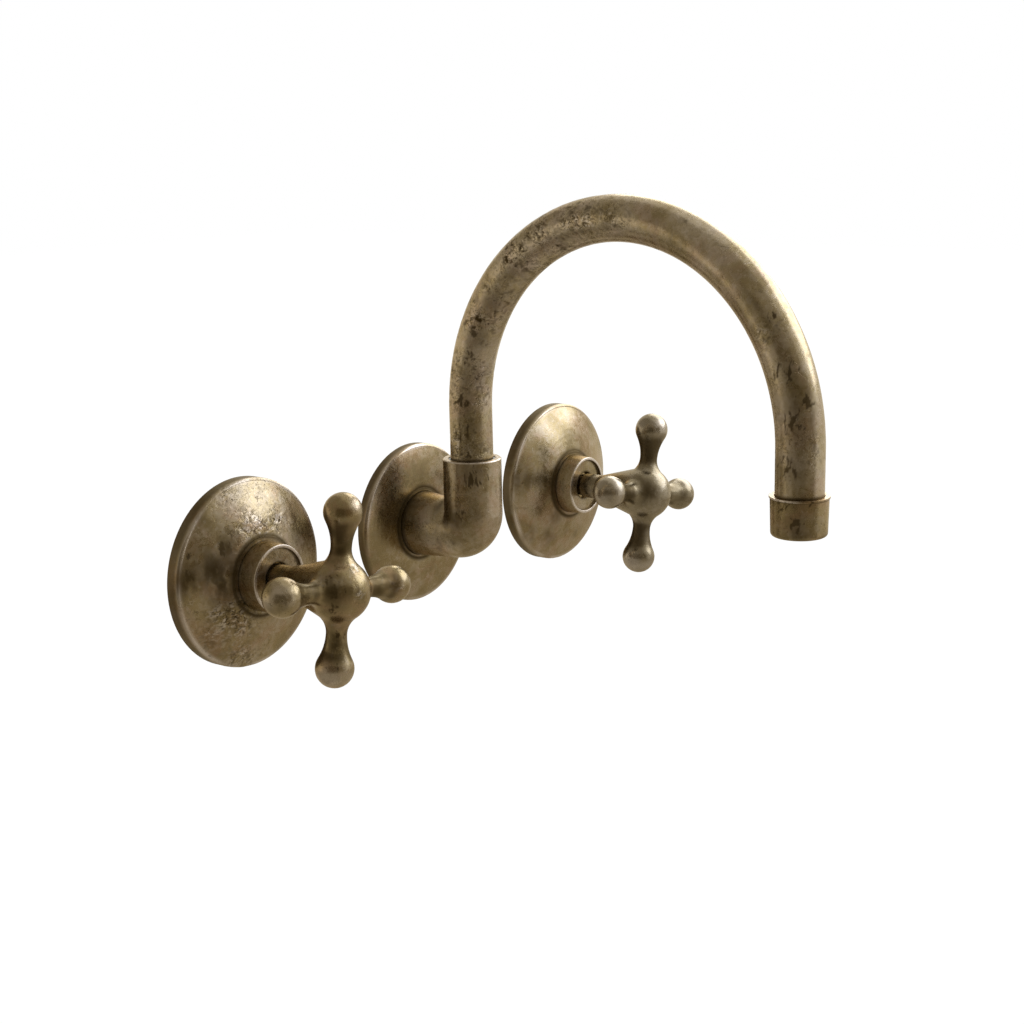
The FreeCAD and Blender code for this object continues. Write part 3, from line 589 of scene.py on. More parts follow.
def brass_skin():
    """Worn brass: a thin film that runs from olive to copper, fine mottling, blotches, specks and short
    wrinkles, and bright metal where it is rubbed. The first of the masks that a piece brings with it is its
    dark marks and stains together with painted shade, Rubbed is where it is rubbed bright and on edges also a
    painted highlight, and Marked is how marked it is; Film is how much of the film is left on it."""
    made = bpy.data.node_groups.get("Worn brass")
    if made:
        return made
    finish = bpy.context.scene.faucet_finish
    made, given, out = new_group(
        "Worn brass",
        [("Rubbed brass", "Color", rgba(finish.rubbed)), ("Aged brass", "Color", rgba(finish.aged)),
         ("Copper film", "Color", rgba(finish.copper)), ("Brown patina", "Color", rgba(finish.patina)),
         *((label, "Float", 0.5) for label in ("Film", "Blotches", "Wrinkles", "Specks")),
         *((mask.title(), "Float", 0.0) for mask in MASKS)],
        [("Colour", "Color"), *((label, "Float") for label in ("Roughness", "Metallic", "Coat", "Height"))])
    place = object_place(made)
    film, hue, mottle, flakes, lines, cluster, blotch = (
        noise(made, place, *values) for values in BRASS_NOISES.values())

    start = minus(made, 0.80, times(made, given["Blotches"], 0.26))
    brown = times(made, ramp(made, minus(made, blotch, start), -0.06, 0.10), 0.7)
    line = maths(made, "ABSOLUTE", minus(made, lines, 0.5))
    wrinkles = times(made, ramp(made, cluster, 0.50, 0.66), given["Wrinkles"])
    wrinkles = larger(made, wrinkles, ramp(made, given["Marked"], 0.1, 0.9, 0.0, 0.8))
    wrinkle = times(made, ramp(made, line, 0.028, 0.006), wrinkles)
    specks = times(made, ramp(made, cluster, 0.58, 0.40), given["Specks"])
    specks = larger(made, specks, ramp(made, given["Marked"], 0.05, 0.75, 0.0, 0.9))
    speck = times(made, ramp(made, flakes, 0.585, 0.64), specks)
    marks = larger(made, wrinkle, speck)
    # dark: blotches, marks, stains and the painted shade that comes in with the piece's dark mask.
    dark = larger(made, larger(made, brown, given["Tarnish"]), marks, clamp=True)

    bare = minus(made, 0.43, given["Film"])
    bare = plus(made, bare, times(made, ramp(made, film, 0.34, 0.68), 0.25))
    bare = plus(made, bare, times(made, ramp(made, mottle, 0.38, 0.66), 0.15))
    bare = plus(made, bare, times(made, ramp(made, flakes, 0.44, 0.34), 0.17))
    bare = larger(made, bare, given["Rubbed"], clamp=True)
    reddish = times(made, ramp(made, hue, 0.44, 0.66), 0.75)
    base = mixed(made, reddish, given["Aged brass"], given["Copper film"])
    browned = times(made, ramp(made, film, 0.50, 0.30), 0.30)
    base = mixed(made, browned, base, given["Brown patina"])
    base = mixed(made, bare, base, given["Rubbed brass"])

    grain = times(made, plus(made, mottle, times(made, flakes, 0.5)), 0.24)
    set_inputs(made, out, {
        "Colour": mixed(made, dark, base, given["Brown patina"]),
        "Roughness": plus(made, ramp(made, mottle, 0.3, 0.7, 0.22, 0.33), times(made, dark, 0.20)),
        "Metallic": minus(made, 0.96, times(made, dark, 0.14)),
        "Coat": minus(made, 0.2, times(made, dark, 0.2)),
        "Height": minus(made, grain, times(made, marks, 0.5))})
    return made


def tooled_skin():
    """Fine lines left by a tool or a mould, with a little dirt: a noise that is drawn out along the surface
    by the piece's own stretched place."""
    made = bpy.data.node_groups.get("Tooled surface")
    if made:
        return made
    made, given, out = new_group(
        "Tooled surface",
        [("Place", "Vector", (0, 0, 0)), ("Clean", "Color", (0.5, 0.5, 0.5, 1)),
         ("Dirty", "Color", (0.1, 0.1, 0.1, 1)), ("Dirt", "Float", 0.4), ("Smooth", "Float", 0.3),
         ("Rough", "Float", 0.45)],
        [("Colour", "Color"), ("Roughness", "Float"), ("Height", "Float")])
    lines = noise(made, given["Place"], 1.0, 3.0, 0.6)
    spots = noise(made, object_place(made), 180.0, 5.0, 0.65, 0.5)
    dirt = times(made, ramp(made, spots, 0.44, 0.70), given["Dirt"])
    tone = times(made, ramp(made, lines, 0.35, 0.65), 0.22)
    spread = minus(made, given["Rough"], given["Smooth"])
    amount = plus(made, times(made, lines, 0.6), times(made, dirt, 0.6))
    set_inputs(made, out, {
        "Colour": mixed(made, plus(made, dirt, tone, clamp=True), given["Clean"], given["Dirty"]),
        "Roughness": plus(made, given["Smooth"], times(made, spread, amount)),
        "Height": lines})
    return made


def new_material(name):
    """An empty node material with its Principled shader."""
    made = bpy.data.materials.new(name)
    made.use_nodes = True
    return made, made.node_tree, made.node_tree.nodes["Principled BSDF"]


def bumped(tree, height, distance):
    """The normal of a surface with small relief."""
    return add(tree, "Bump", {"Height": height, "Distance": distance, "Strength": 1.0}).outputs["Normal"]


# Worn brass by material: how much film is left, and how much it has of blotches, wrinkles and specks
WORN_LOOKS = {
    "plate_hot": (0.53, 0.55, 0.25, 0.40), "plate_cold": (0.50, 0.20, 0.00, 0.00),
    "plate_spout": (0.55, 0.40, 0.05, 0.15), "sleeve_hot": (0.50, 0.50, 0.10, 0.40),
    "sleeve_cold": (0.50, 0.30, 0.10, 0.40), "handle_hot": (0.62, 0.60, 0.40, 0.45),
    "handle_cold": (0.62, 0.50, 0.20, 0.35), "elbow_brass": (0.42, 0.60, 0.30, 0.50),
    "tube_brass": (0.34, 0.58, 0.25, 0.35), "collar_brass": (0.60, 0.60, 0.20, 0.60),
    "cast_brass": (0.50, 0.50, 0.20, 0.30),
}
# Colours of the film where a material has its own, by their names in Finish
OWN_FILMS = {
    "handle_cold": {"Aged brass": "dull", "Copper film": "dull"},
    "tube_brass": {"Aged brass": "olive"},
}
BRASS_RELIEF = 0.14 * MM


def worn_brass(name):
    """The worn brass of one piece, waxed where it isn't dark."""
    made = bpy.data.materials.get(name)
    if made:
        return made
    made, tree, shader = new_material(name)
    finish = bpy.context.scene.faucet_finish
    look = dict(zip(("Film", "Blotches", "Wrinkles", "Specks"), WORN_LOOKS[name]))
    for label, tone in OWN_FILMS.get(name, {}).items():
        look[label] = rgba(getattr(finish, tone))
    for mask in MASKS:
        look[mask.title()] = add(tree, "Attribute", attribute_name=mask).outputs["Fac"]
    skin = add(tree, "Group", look, node_tree=brass_skin()).outputs
    set_inputs(tree, shader, {
        "Base Color": skin["Colour"], "Roughness": skin["Roughness"], "Metallic": skin["Metallic"],
        "Coat Weight": skin["Coat"], "Coat Roughness": 0.24, "Specular IOR Level": 0.25,
        "Specular Tint": (0.88, 0.78, 0.60, 1), "Normal": bumped(tree, skin["Height"], BRASS_RELIEF)})
    return made


def tooled(name, clean, dirty, scale, dirt, smooth_to, rough_to, metallic, relief):
    """A machined, moulded or pressed material. scale stretches the tool's lines along the object's axes, and
    relief is their height in millimetres."""
    made = bpy.data.materials.get(name)
    if made:
        return made
    made, tree, shader = new_material(name)
    place = add(tree, "Mapping", {"Vector": object_place(tree), "Scale": scale}).outputs["Vector"]
    look = {"Place": place, "Clean": rgba(clean), "Dirty": rgba(dirty), "Dirt": dirt, "Smooth": smooth_to,
            "Rough": rough_to}
    skin = add(tree, "Group", look, node_tree=tooled_skin()).outputs
    set_inputs(tree, shader, {
        "Base Color": skin["Colour"], "Roughness": skin["Roughness"], "Metallic": metallic,
        "Specular IOR Level": 0.5 if metallic else 0.12,
        "Normal": bumped(tree, skin["Height"], relief * MM)})
    return made


def slot_material(slot, upright):
    """The material of a hidden piece by its slot. Turned pieces on an upright axis have level tool lines.
    A look is what tooled takes after the name."""
    finish = bpy.context.scene.faucet_finish
    way, lathe = ("_upright", (60, 60, 5000)) if upright else ("_level", (60, 5000, 60))
    turned_looks = {
        "turned_brass": (finish.turned, finish.patina, lathe, 0.55, 0.24, 0.42, 1.0, 0.02),
        "steel": (finish.steel, (0.06, 0.05, 0.04), lathe, 0.4, 0.26, 0.45, 1.0, 0.015),
        "acetal": (finish.acetal, (0.42, 0.39, 0.32), lathe, 0.35, 0.38, 0.55, 0.0, 0.015),
    }
    pressed_looks = {
        "rubber": (finish.rubber, (0.06, 0.05, 0.04), (900, 900, 900), 0.6, 0.55, 0.75, 0.0, 0.03),
        "fibre": (finish.fibre, (0.09, 0.022, 0.014), (1400, 300, 500), 0.5, 0.7, 0.9, 0.0, 0.05),
        "packing": (finish.packing, (0.30, 0.27, 0.20), (700, 260, 700), 0.6, 0.65, 0.85, 0.0, 0.08),
    }
    if slot in turned_looks:
        return tooled(slot + way, *turned_looks[slot])
    if slot in pressed_looks:
        return tooled(slot, *pressed_looks[slot])
    return worn_brass("cast_brass")


# Where the brass is most worn, and where shade is painted: (x, y, z, radius, strength) in millimetres. The
# shade patches are dark blotches mixed with painted shade and painted dark reflections.

WEAR = {
    "hot_escutcheon": {
        "furrows": [(-113, -7, 32, 7, 0.7), (-97, -8, 32, 4, 0.5), (-104, -12, 19, 8, 0.9),
                    (-91, -11, 19, 6, 0.8), (-116, -12, -12, 12, 1.1), (-122, -11, -9, 9, 0.8),
                    (-111, -7, -33, 9, 0.8), (-125, -9, -18, 7, 0.7)],
        "stains": [(-134, -7, 6, 4, 0.9), (-133, -7, 14, 2, 0.7), (-120, -11, 15, 4, 0.9)],
        "shade": [(-125, -11, 7, 8, 1.2), (-121, -11, 1, 8, 1.2), (-119, -11, 14, 5, 1.1),
                  (-134, -7, 4, 6, 1.2), (-124, -7, 26, 6, 0.6)],
    },
    "cold_escutcheon": {
        "shade": [(75, -7, -21, 4, 0.8), (88, -10, -23, 5, 0.8), (109, -10, -26, 3, 0.6),
                  (90, -12, -13, 6, 0.7), (69, -7, 7, 6, 0.6)],
    },
    "spout_elbow": {
        "furrows": [(-8, -43, 0, 5, 0.9), (-6, -40, -6, 4, 0.8)],
        "stains": [(-9, -44, 25, 6, 1.0), (-12, -38, 10, 3, 1.0)],
        "shade": [(-9, -43, 26, 5, 1.0), (-12, -34, 7, 5, 0.9), (-8, -10, 9, 6, 0.7)],
    },
    "spout_tube": {
        "furrows": [(-12, -80, 125, 12, 0.9), (-13, -100, 131, 13, 1.0), (-10, -90, 122, 10, 0.9),
                    (-13, -116, 133, 10, 0.8), (-8, -58, 99, 11, 0.9), (-18, -183, 93, 5, 0.9)],
        "pits": [(-11, -69, 116, 13, 1.1), (-8, -73, 112, 11, 1.0), (-10, -85, 120, 10, 0.9),
                 (-9, -36, 35, 12, 1.1), (-9, -40, 65, 15, 1.0), (-9, -48, 90, 13, 1.0),
                 (-18, -196, 55, 12, 0.8)],
        "stains": [(-9, -38, 58, 5, 0.9), (-8, -38, 45, 5, 0.9), (-9, -40, 76, 5, 0.8),
                   (-16, -185, 100, 2, 0.9), (-18, -192, 82, 5, 0.9), (-15, -199, 71, 4, 1.0),
                   (-18, -196, 64, 5, 1.0), (-19, -193, 46, 5, 1.0)],
        "shade": [(-7, -43, 68, 6, 0.6), (-7, -46, 84, 6, 0.6), (-7, -55, 98, 5, 0.6), (-8, -67, 110, 5, 0.6),
                  (-17, -196, 68, 9, 0.6), (-18, -194, 48, 7, 0.6)],
    },
    "aerator_collar": {
        "stains": [(-20, -193, 33, 3, 0.9), (-16, -203, 35, 2, 0.9), (-20, -198, 27, 4, 0.9)],
        "shade": [(-19, -198, 24, 7, 0.8)],
    },
    "hot_cross_handle": {
        "furrows": [(-100, -60, 9, 3, 0.7)],
        "pits": [(-103, -65, 1, 3, 0.8), (-76, -59, -3, 3, 0.8), (-136, -58, 4, 3, 0.6)],
        "stains": [(-111, -58, 4, 5, 1.0), (-110, -58, -3, 4, 0.9), (-107, -58, -17, 4, 0.9),
                   (-111, -60, -26, 3, 0.8)],
        "shade": [(-111, -58, 3, 6, 1.2), (-107, -55, -17, 6, 1.1), (-105, -53, 13, 4, 0.6)],
    },
    "cold_cross_handle": {
        "shade": [(93, -62, 4, 6, 0.9), (96, -58, -16, 6, 0.8), (102, -57, 16, 5, 0.8)],
    },
}
SEEDS = {
    "hot_escutcheon": 60, "cold_escutcheon": 160, "spout_escutcheon": 300, "hot_sleeve_nut": 500,
    "cold_sleeve_nut": 501, "hot_cross_handle": 600, "cold_cross_handle": 650, "spout_elbow": 700,
    "spout_tube": 800, "aerator_collar": 900,
}


# Operators

LEVEL_PIECES = ("inlet_nipple", "spout_escutcheon", "escutcheon_ring")


class FAUCET_OT_finishes(bpy.types.Operator):
    """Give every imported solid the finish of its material"""
    bl_idname = "faucet.finishes"
    bl_label = "Finishes of the solids"

    def execute(self, context):
        for part in frame["record"]["subparts"]:
            node = part["node"]
            upright = not node.startswith(TAPS) and node not in LEVEL_PIECES
            mesh = frame["nodes"][node].data
            mesh.materials.clear()
            mesh.materials.append(slot_material(part["material_slot"], upright))
        return {"FINISHED"}


class FAUCET_OT_plates(bpy.types.Operator):
    """Turn the cover plates with worn edges and furrowed faces"""
    bl_idname = "faucet.plates"
    bl_label = "Cover plates"

    def execute(self, context):
        size, age = context.scene.faucet_plates, context.scene.faucet_age
        for tap in TAPS:
            low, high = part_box(tap + "_sleeve_nut")
            land = (high.x - low.x) / 2 + size.tap_land
            self.plate(size, age, tap + "_escutcheon", "plate_" + tap,
                       size.tap_rim, land, size.tap_hole, size.tap_step)
        self.plate(size, age, "spout_escutcheon", "plate_spout",
                   size.spout_rim, size.spout_hole + size.spout_land, size.spout_hole, size.spout_step)
        return {"FINISHED"}

    def plate(self, size, age, node, look, rim, land, hole, step):
        """A turned plate: rim, rounded edge, crowned face (a straight line plus a parabola), land and
        hollowed-out back.
        Painted shade darkens the groove round the land, the side of the rim and the inside of the back."""
        low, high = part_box(node)
        centre = (middle_of(node).x, high.y, middle_of(node).z)
        radius, rise = (high.x - low.x) / 2, high.y - low.y
        foot = np.array([radius - size.edge_round, rim])
        slope = np.array([land, rise - step]) - foot
        lift = np.array([slope[1], -slope[0]]) / np.linalg.norm(slope) * size.crown
        t = np.linspace(0, 1, 9)[:, None]
        face = foot + t * slope + 4 * t * (1 - t) * lift
        bend = np.linspace(0, math.pi / 2, 6)[:-1]
        edge = np.stack([radius - size.edge_round * (1 - np.cos(bend)),
                         rim - size.edge_round * (1 - np.sin(bend))], axis=1)
        back = rise - step - size.wall * np.linalg.norm(slope) / -slope[0]
        hidden = np.array([[land, rise], [hole, rise], [hole, back], [land, back],
                           [radius - size.wall, back - slope[1]], [radius - size.wall, 0]])
        profile = soften(np.vstack([[[radius, 0]], edge, face, hidden]), size.worn_edge)

        def over_wall(out, height):
            """How far a place lies over a line at 0.7 of the wall's depth under the face."""
            return height - np.interp(out, [land, radius], [rise - step, rim]) + 0.7 * size.wall

        shown = (over_wall(*profile.T) > 0) | (profile[:, 0] > radius - 0.5 * size.wall)
        profile = densify(profile, np.where(shown, age.grid, age.back_grid))
        around = int(TURN * radius / (1.1 * age.grid))
        points, faces, out, height = round_piece(profile, around, centre, TO_ROOM, UP)
        front = np.maximum(smooth(0, 0.3 * size.wall, over_wall(out, height)),
                           smooth(-0.5, -0.2, (out - radius) / size.wall))
        front = front * smooth(0, 1 * MM, height) * smooth(hole, hole + 1 * MM, out)
        # The worn rim edge is rubbed bright, which also paints a highlight along the rim.
        edge_worn = smooth(-0.5, 0.4, cloud(points, 12 * MM, 2, SEEDS[node] + 7)) * (height > rim - 1.2 * MM)
        rubbed = 0.75 * near(out, radius - 0.6 * size.edge_round, 0.9 * MM) * edge_worn
        # Painted shade: in the groove round the land, on the side of the rim and on the inside of the back.
        behind = back + 0.3 * MM
        rim_side = smooth(0.3 * MM, 0.1 * MM, radius - out) * smooth(rim, rim - 2 * size.edge_round, height)
        painted_shade = np.maximum(0.95 * near(out, land + 0.2 * MM, 1.2 * MM) * (height > behind), 0.75 * rim_side)
        painted_shade = np.maximum(painted_shade, 0.45 * (1 - front) * (height < behind))
        worn_piece(node, "wall_set", look, points, faces, front, rubbed, painted_shade)


class FAUCET_OT_sleeves(bpy.types.Operator):
    """Turn the sleeves with their thin worn edges"""
    bl_idname = "faucet.sleeves"
    bl_label = "Sleeves"

    def execute(self, context):
        for tap in TAPS:
            self.sleeve(context.scene.faucet_sleeves, context.scene.faucet_age, tap)
        return {"FINISHED"}

    def sleeve(self, size, age, tap):
        """A turned barrel that narrows to the front, with a shallow cup, a hole for the shank and a bore."""
        node = tap + "_sleeve_nut"
        low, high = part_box(node)
        centre = (middle_of(node).x, 0, middle_of(node).z)
        foot, start, top = (high.x - low.x) / 2, -high.y, -low.y
        front_edge = foot - size.narrowing
        cup, floor = front_edge - size.wall, top - size.recess
        under = floor - size.floor
        corners = np.array([
            [foot, start], [front_edge, top], [cup, top], [cup, floor], [size.shank_hole, floor],
            [size.shank_hole, under], [size.thread, under], [size.thread, start]])
        profile = soften(corners, size.worn_edge)
        hidden = (profile[:, 0] < size.thread + 0.1 * MM) & (profile[:, 1] < floor - 0.5 * size.floor)
        profile = densify(profile, np.where(hidden, age.back_grid, age.grid))
        around = int(TURN * foot / age.grid)
        points, faces, out, height = round_piece(profile, around, centre, TO_ROOM, UP)
        outside = out > cup + 0.1 * MM
        front = np.where(outside, 1, smooth(floor - 0.6 * MM, floor - 0.1 * MM, height))
        front = front * smooth(start, start + 0.5 * MM, height)
        # The front edge is rubbed bright, which also paints a highlight along it.
        rubbed = 0.9 * near(height, top, 0.45 * MM) * (out > cup)
        # Painted shade in the corners of the cup and round the sleeve's foot on the plate.
        corner = np.maximum(near(out, cup, 0.6 * MM), near(out, size.shank_hole, 0.7 * MM))
        corner = corner * (out < cup + 0.2 * MM) * smooth(top, floor, height)
        painted_shade = 0.8 * np.maximum(corner, near(height, start, 0.7 * MM) * (out > cup))
        worn_piece(node, "wall_set", "sleeve_" + tap, points, faces, front, rubbed, painted_shade)


class FAUCET_OT_castings(bpy.types.Operator):
    """Age the cast pieces, the cross handles and the elbow, on the surface of their solids"""
    bl_idname = "faucet.castings"
    bl_label = "Handles and elbow"

    def execute(self, context):
        size, grid = context.scene.faucet_castings, context.scene.faucet_age.grid
        for tap in TAPS:
            self.handle(size, tap, 1.4 * grid)
        self.elbow(size, 2 * grid)
        return {"FINISHED"}

    def handle(self, size, tap, step):
        """Sockets stay true, painted shade darkens the necks between hub and arms, and the ends of the arms
        are rubbed.
        """
        node = tap + "_cross_handle"
        points, faces = halved(*solid_mesh(node), step)
        low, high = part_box(node)
        middle = middle_of(node)
        out = np.hypot(points[:, 0] - middle.x, points[:, 2] - middle.z)
        before_spindle = points[:, 1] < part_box(tap + "_spindle")[0].y - 1 * MM
        front = np.maximum(smooth(size.socket, size.socket + 0.5 * MM, out), before_spindle)
        reach = (high.x - low.x) / 2
        hub, knob = reach / 2 - size.hub_inset, reach - size.arm_end
        # Painted shade on the necks between hub and arms.
        neck = smooth(hub - 2.5 * MM, hub, out) * smooth(reach - size.neck_end, knob, out)
        painted_shade = 0.8 * neck * smooth(-0.7, 0.2, cloud(points, 5 * MM, 2, SEEDS[node] + 3))
        worn_end = smooth(-0.4, 0.4, cloud(points, 8 * MM, 2, SEEDS[node] + 9))
        rubbed = 0.4 * smooth(knob, reach - size.arm_tip, out) * worn_end
        worn_piece(node, tap + "_handle", "handle_" + tap, points, faces, front, rubbed, painted_shade)

    def elbow(self, size, step):
        """Bores stay true, painted shade darkens the inner corner and the foot, and the socket's edge is
        rubbed bright, which also paints a highlight on it.
        """
        node = "spout_elbow"
        points, faces = halved(*solid_mesh(node), step)
        x, y, z = points.T
        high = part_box(node)[1]
        swivel = middle_of("swivel_bush")
        from_boss = np.hypot(x, z)
        from_socket = np.hypot(x - swivel.x, y - swivel.y)
        front = smooth(size.bore, size.bore + 0.7 * MM, np.minimum(from_boss, from_socket))
        front = front * smooth(0, 0.6 * MM, high.z - z) * smooth(0, 1 * MM, high.y - size.tail - y)
        rubbed = 0.9 * near(z, high.z, 0.5 * MM) * (from_socket > size.mouth)
        # Painted shade in the inner corner and where the boss meets the plate.
        corner = near(y, swivel.y + size.corner_out, 2.2 * MM) * near(z, size.corner_up, 5 * MM)
        foot = near(y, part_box("spout_escutcheon")[0].y, 1.3 * MM)
        painted_shade = 0.9 * np.maximum(corner, foot)
        worn_piece(node, "wall_set", "elbow_brass", points, faces, front, rubbed, painted_shade)


class FAUCET_OT_tube(bpy.types.Operator):
    """Bend the spout's tube and wear its surface"""
    bl_idname = "faucet.tube"
    bl_label = "Spout tube"

    def execute(self, context):
        """A circle carried along an upright leg, a half circle and a leg down, outside and then inside."""
        size, age = context.scene.faucet_spout, context.scene.faucet_age
        low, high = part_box("spout_tube")
        washer_low, washer_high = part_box("aerator_washer")
        radius = (washer_high.x - washer_low.x) / 2
        swivel, tip = middle_of("swivel_bush"), middle_of("aerator_washer")
        ahead = Vector((tip.x - swivel.x, tip.y - swivel.y, 0))
        bend = ahead.length / 2
        ahead = np.array(ahead.normalized())
        crown = high.z - radius - bend
        legs = (crown - low.z, math.pi * bend, crown - washer_high.z)
        along_outside = np.linspace(0, sum(legs), int(sum(legs) / (1.1 * age.grid)))
        along_inside = np.linspace(sum(legs), 0, int(sum(legs) / age.back_grid))
        along = np.concatenate([along_outside, along_inside])
        away = np.repeat([radius, radius - size.tube_wall], [len(along_outside), len(along_inside)])
        turn = np.clip((along - legs[0]) / bend, 0, math.pi)
        climb, fall = np.minimum(along, legs[0]), np.maximum(along - legs[0] - legs[1], 0)
        rise = low.z + climb + bend * np.sin(turn) - fall
        start = np.array((swivel.x, swivel.y, 0))
        centre = start + (bend * (1 - np.cos(turn)))[:, None] * ahead + rise[:, None] * np.array(UP)
        outer = -np.cos(turn)[:, None] * ahead + np.sin(turn)[:, None] * np.array(UP)
        around = int(TURN * radius / age.grid)
        angle = angles(around)[None, :, None]
        ring = np.cos(angle) * outer[:, None] + np.sin(angle) * np.cross(ahead, UP)
        points = (centre[:, None] + away[:, None, None] * ring).reshape(-1, 3)
        front = np.repeat((away > radius - 0.1 * MM) * smooth(0, 1.5 * MM, sum(legs) - along), around)
        # Painted shade where the tube stands in the bush and where it enters the collar.
        at_bush = near(points[:, 2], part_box("swivel_bush")[1].z + 0.4 * MM, 0.9 * MM)
        at_collar = near(points[:, 2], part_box("aerator_collar")[1].z, 0.9 * MM)
        from_tip = np.linalg.norm(points[:, :2] - np.array(tip)[:2], axis=1)
        painted_shade = 0.8 * np.maximum(at_bush, at_collar * (from_tip < 1.2 * radius)) * front
        faces = grid_faces(len(along), around)
        worn_piece("spout_tube", "spout", "tube_brass", points, faces, front, np.zeros(len(points)), painted_shade)
        return {"FINISHED"}


class FAUCET_OT_collar(bpy.types.Operator):
    """Turn the collar that holds the aerator"""
    bl_idname = "faucet.collar"
    bl_label = "Aerator collar"

    def execute(self, context):
        """A turned ring with a lip at the top, a slight draft, a rounded foot and a seat for the aerator."""
        size, age = context.scene.faucet_spout, context.scene.faucet_age
        node = "aerator_collar"
        low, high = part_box(node)
        washer_low, washer_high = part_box("aerator_washer")
        bore = (washer_high.x - washer_low.x) / 2 + size.collar_fit
        seat = bore - size.collar_seat
        lip = (high.x - low.x) / 2
        side = lip - size.collar_lip
        foot = side - size.collar_draft
        under, floor = high.z - size.collar_lip_height, low.z + size.collar_floor
        bend = np.linspace(0, math.pi / 2, 8)
        edge = np.stack([foot - size.collar_round * (1 - np.cos(bend)),
                         low.z + size.collar_round * (1 - np.sin(bend))], axis=1)
        corners = np.vstack([edge[::-1], [
            [side, under], [lip, under], [lip, high.z], [bore, high.z], [bore, floor], [seat, floor],
            [seat, low.z]]])
        profile = soften(corners, size.collar_edge)
        hidden = (profile[:, 0] < bore + 0.1 * MM) & (profile[:, 1] > low.z + 1.2 * size.collar_floor)
        profile = densify(profile, np.where(hidden, age.back_grid, 0.8 * age.grid))
        around = int(TURN * lip / (0.8 * age.grid))
        centre = (middle_of(node).x, middle_of(node).y, 0)
        points, faces, out, height = round_piece(profile, around, centre, UP, (1, 0, 0))
        front = smooth(bore + 0.1 * MM, bore + 0.5 * MM, out)
        # The top lip is rubbed bright, which also paints a highlight on it; painted shade lies under the lip.
        worn_lip = smooth(-0.4, 0.3, cloud(points, 7 * MM, 2, SEEDS[node] + 4))
        rubbed = 0.8 * near(out, lip, 0.3 * MM) * (height > under) * worn_lip
        painted_shade = 0.8 * near(height, under, 0.35 * MM) * (out < lip - 0.1 * MM) * (out > bore + 0.3 * MM)
        worn_piece(node, "spout", "collar_brass", points, faces, front, rubbed, painted_shade)
        return {"FINISHED"}


BARREL_CHAMFER = 0.4 * MM
HEXAGON_CONE = 1.7


class FAUCET_OT_threads(bpy.types.Operator):
    """Cut the pipe threads and chamfer the hexagons of the pieces in the wall"""
    bl_idname = "faucet.threads"
    bl_label = "Threads and hexagons"

    around = 96

    def execute(self, context):
        for tap in TAPS:
            self.bonnet(context, tap)
            self.jumper_nut(context, tap)
        self.nipple(context)
        return {"FINISHED"}

    def plain(self, *rows):
        """Round rows of a profile from (radius, height) pairs."""
        return round_rows(np.array(rows), self.around)

    def thread(self, size, start, end):
        """A V thread: the radius falls from its crest as a triangle wave of the height in pitches less the
        turn, and is cut off by a cone at both ends."""
        height = np.linspace(start, end, int((end - start) / (size.pitch / 12)))
        phase = (height[:, None] / size.pitch - angles(self.around)[None] / TURN) % 1
        radius = size.outside - size.depth * np.abs(2 * phase - 1)
        lead = size.outside - size.depth + np.minimum(height - start, end - height)
        return np.minimum(radius, lead[:, None]), height

    def hexagon(self, corner, chamfer, start, end):
        """A hexagon whose radius is half its width across flats over the cosine of the angle from the middle
        of the flat, cut off at both ends by a cone that widens HEXAGON_CONE times as fast as it rises."""
        height = np.concatenate([np.linspace(start, start + chamfer, 5), np.linspace(end - chamfer, end, 5)])
        angle = (angles(self.around) + TURN / 12) % (TURN / 6) - TURN / 12
        flat = corner * math.cos(TURN / 12)
        radius = np.repeat((flat / np.cos(angle))[None], len(height), axis=0)
        cone = corner + HEXAGON_CONE * (np.minimum(height - start, end - height) - chamfer)
        return np.minimum(radius, np.maximum(cone, flat - 0.3 * chamfer)[:, None]), height

    def piece(self, node, blocks, body):
        """A turned piece along the tap's axis from blocks of radius rows and heights."""
        radius = np.vstack([block[0] for block in blocks])
        height = np.concatenate([block[1] for block in blocks])
        centre = (middle_of(node).x, 0, middle_of(node).z)
        points = turned(radius, height, centre, TO_ROOM, UP).reshape(-1, 3)
        faces = grid_faces(len(height), self.around)
        look = slot_material("turned_brass", False)
        mesh_piece("cut_" + node, node, points, faces, body, look, sharp=25)

    def bonnet(self, context, tap):
        """Threaded tail, relief, hexagon and barrel outside, gland box, guide and spindle's bore inside."""
        size = context.scene.faucet_threads
        node = tap + "_bonnet"
        low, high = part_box(node)
        tail, top = -high.y, -low.y
        corner = (high.x - low.x) / 2
        hex_top = size.washer + size.hexagon
        neck = size.outside - size.relief
        floor = top - size.gland_depth
        stop = floor - size.guide
        self.piece(node, [
            self.thread(size, tail, 0),
            self.plain((neck, 0), (neck, size.washer)),
            self.hexagon(corner, size.chamfer, size.washer, hex_top),
            self.plain((size.barrel, hex_top), (size.barrel, top - BARREL_CHAMFER),
                       (size.barrel - BARREL_CHAMFER, top), (size.gland_bore, top), (size.gland_bore, floor),
                       (size.guide_bore, floor), (size.guide_bore, stop), (size.spindle_bore, stop),
                       (size.spindle_bore, tail))], "wall_set")

    def jumper_nut(self, context, tap):
        """A small hexagon with the stud's hole."""
        size = context.scene.faucet_threads
        node = tap + "_jumper_nut"
        low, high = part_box(node)
        self.piece(node, [
            self.hexagon((high.x - low.x) / 2, 0.5 * size.chamfer, -high.y, -low.y),
            self.plain((size.stud_hole, -low.y), (size.stud_hole, -high.y))], tap + "_valve")

    def nipple(self, context):
        """A thread into the wall, a neck, a thread into the elbow, and a bore."""
        size = context.scene.faucet_threads
        low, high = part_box("inlet_nipple")
        neck = size.outside - size.relief
        self.piece("inlet_nipple", [
            self.thread(size, -high.y, -size.nipple_neck),
            self.plain((neck, -size.nipple_neck), (neck, size.nipple_seat)),
            self.thread(size, size.nipple_seat, -low.y),
            self.plain((size.waterway, -low.y), (size.waterway, -high.y))], "wall_set")


WIRE_STEPS, WIRE_SIDES = 81, 6


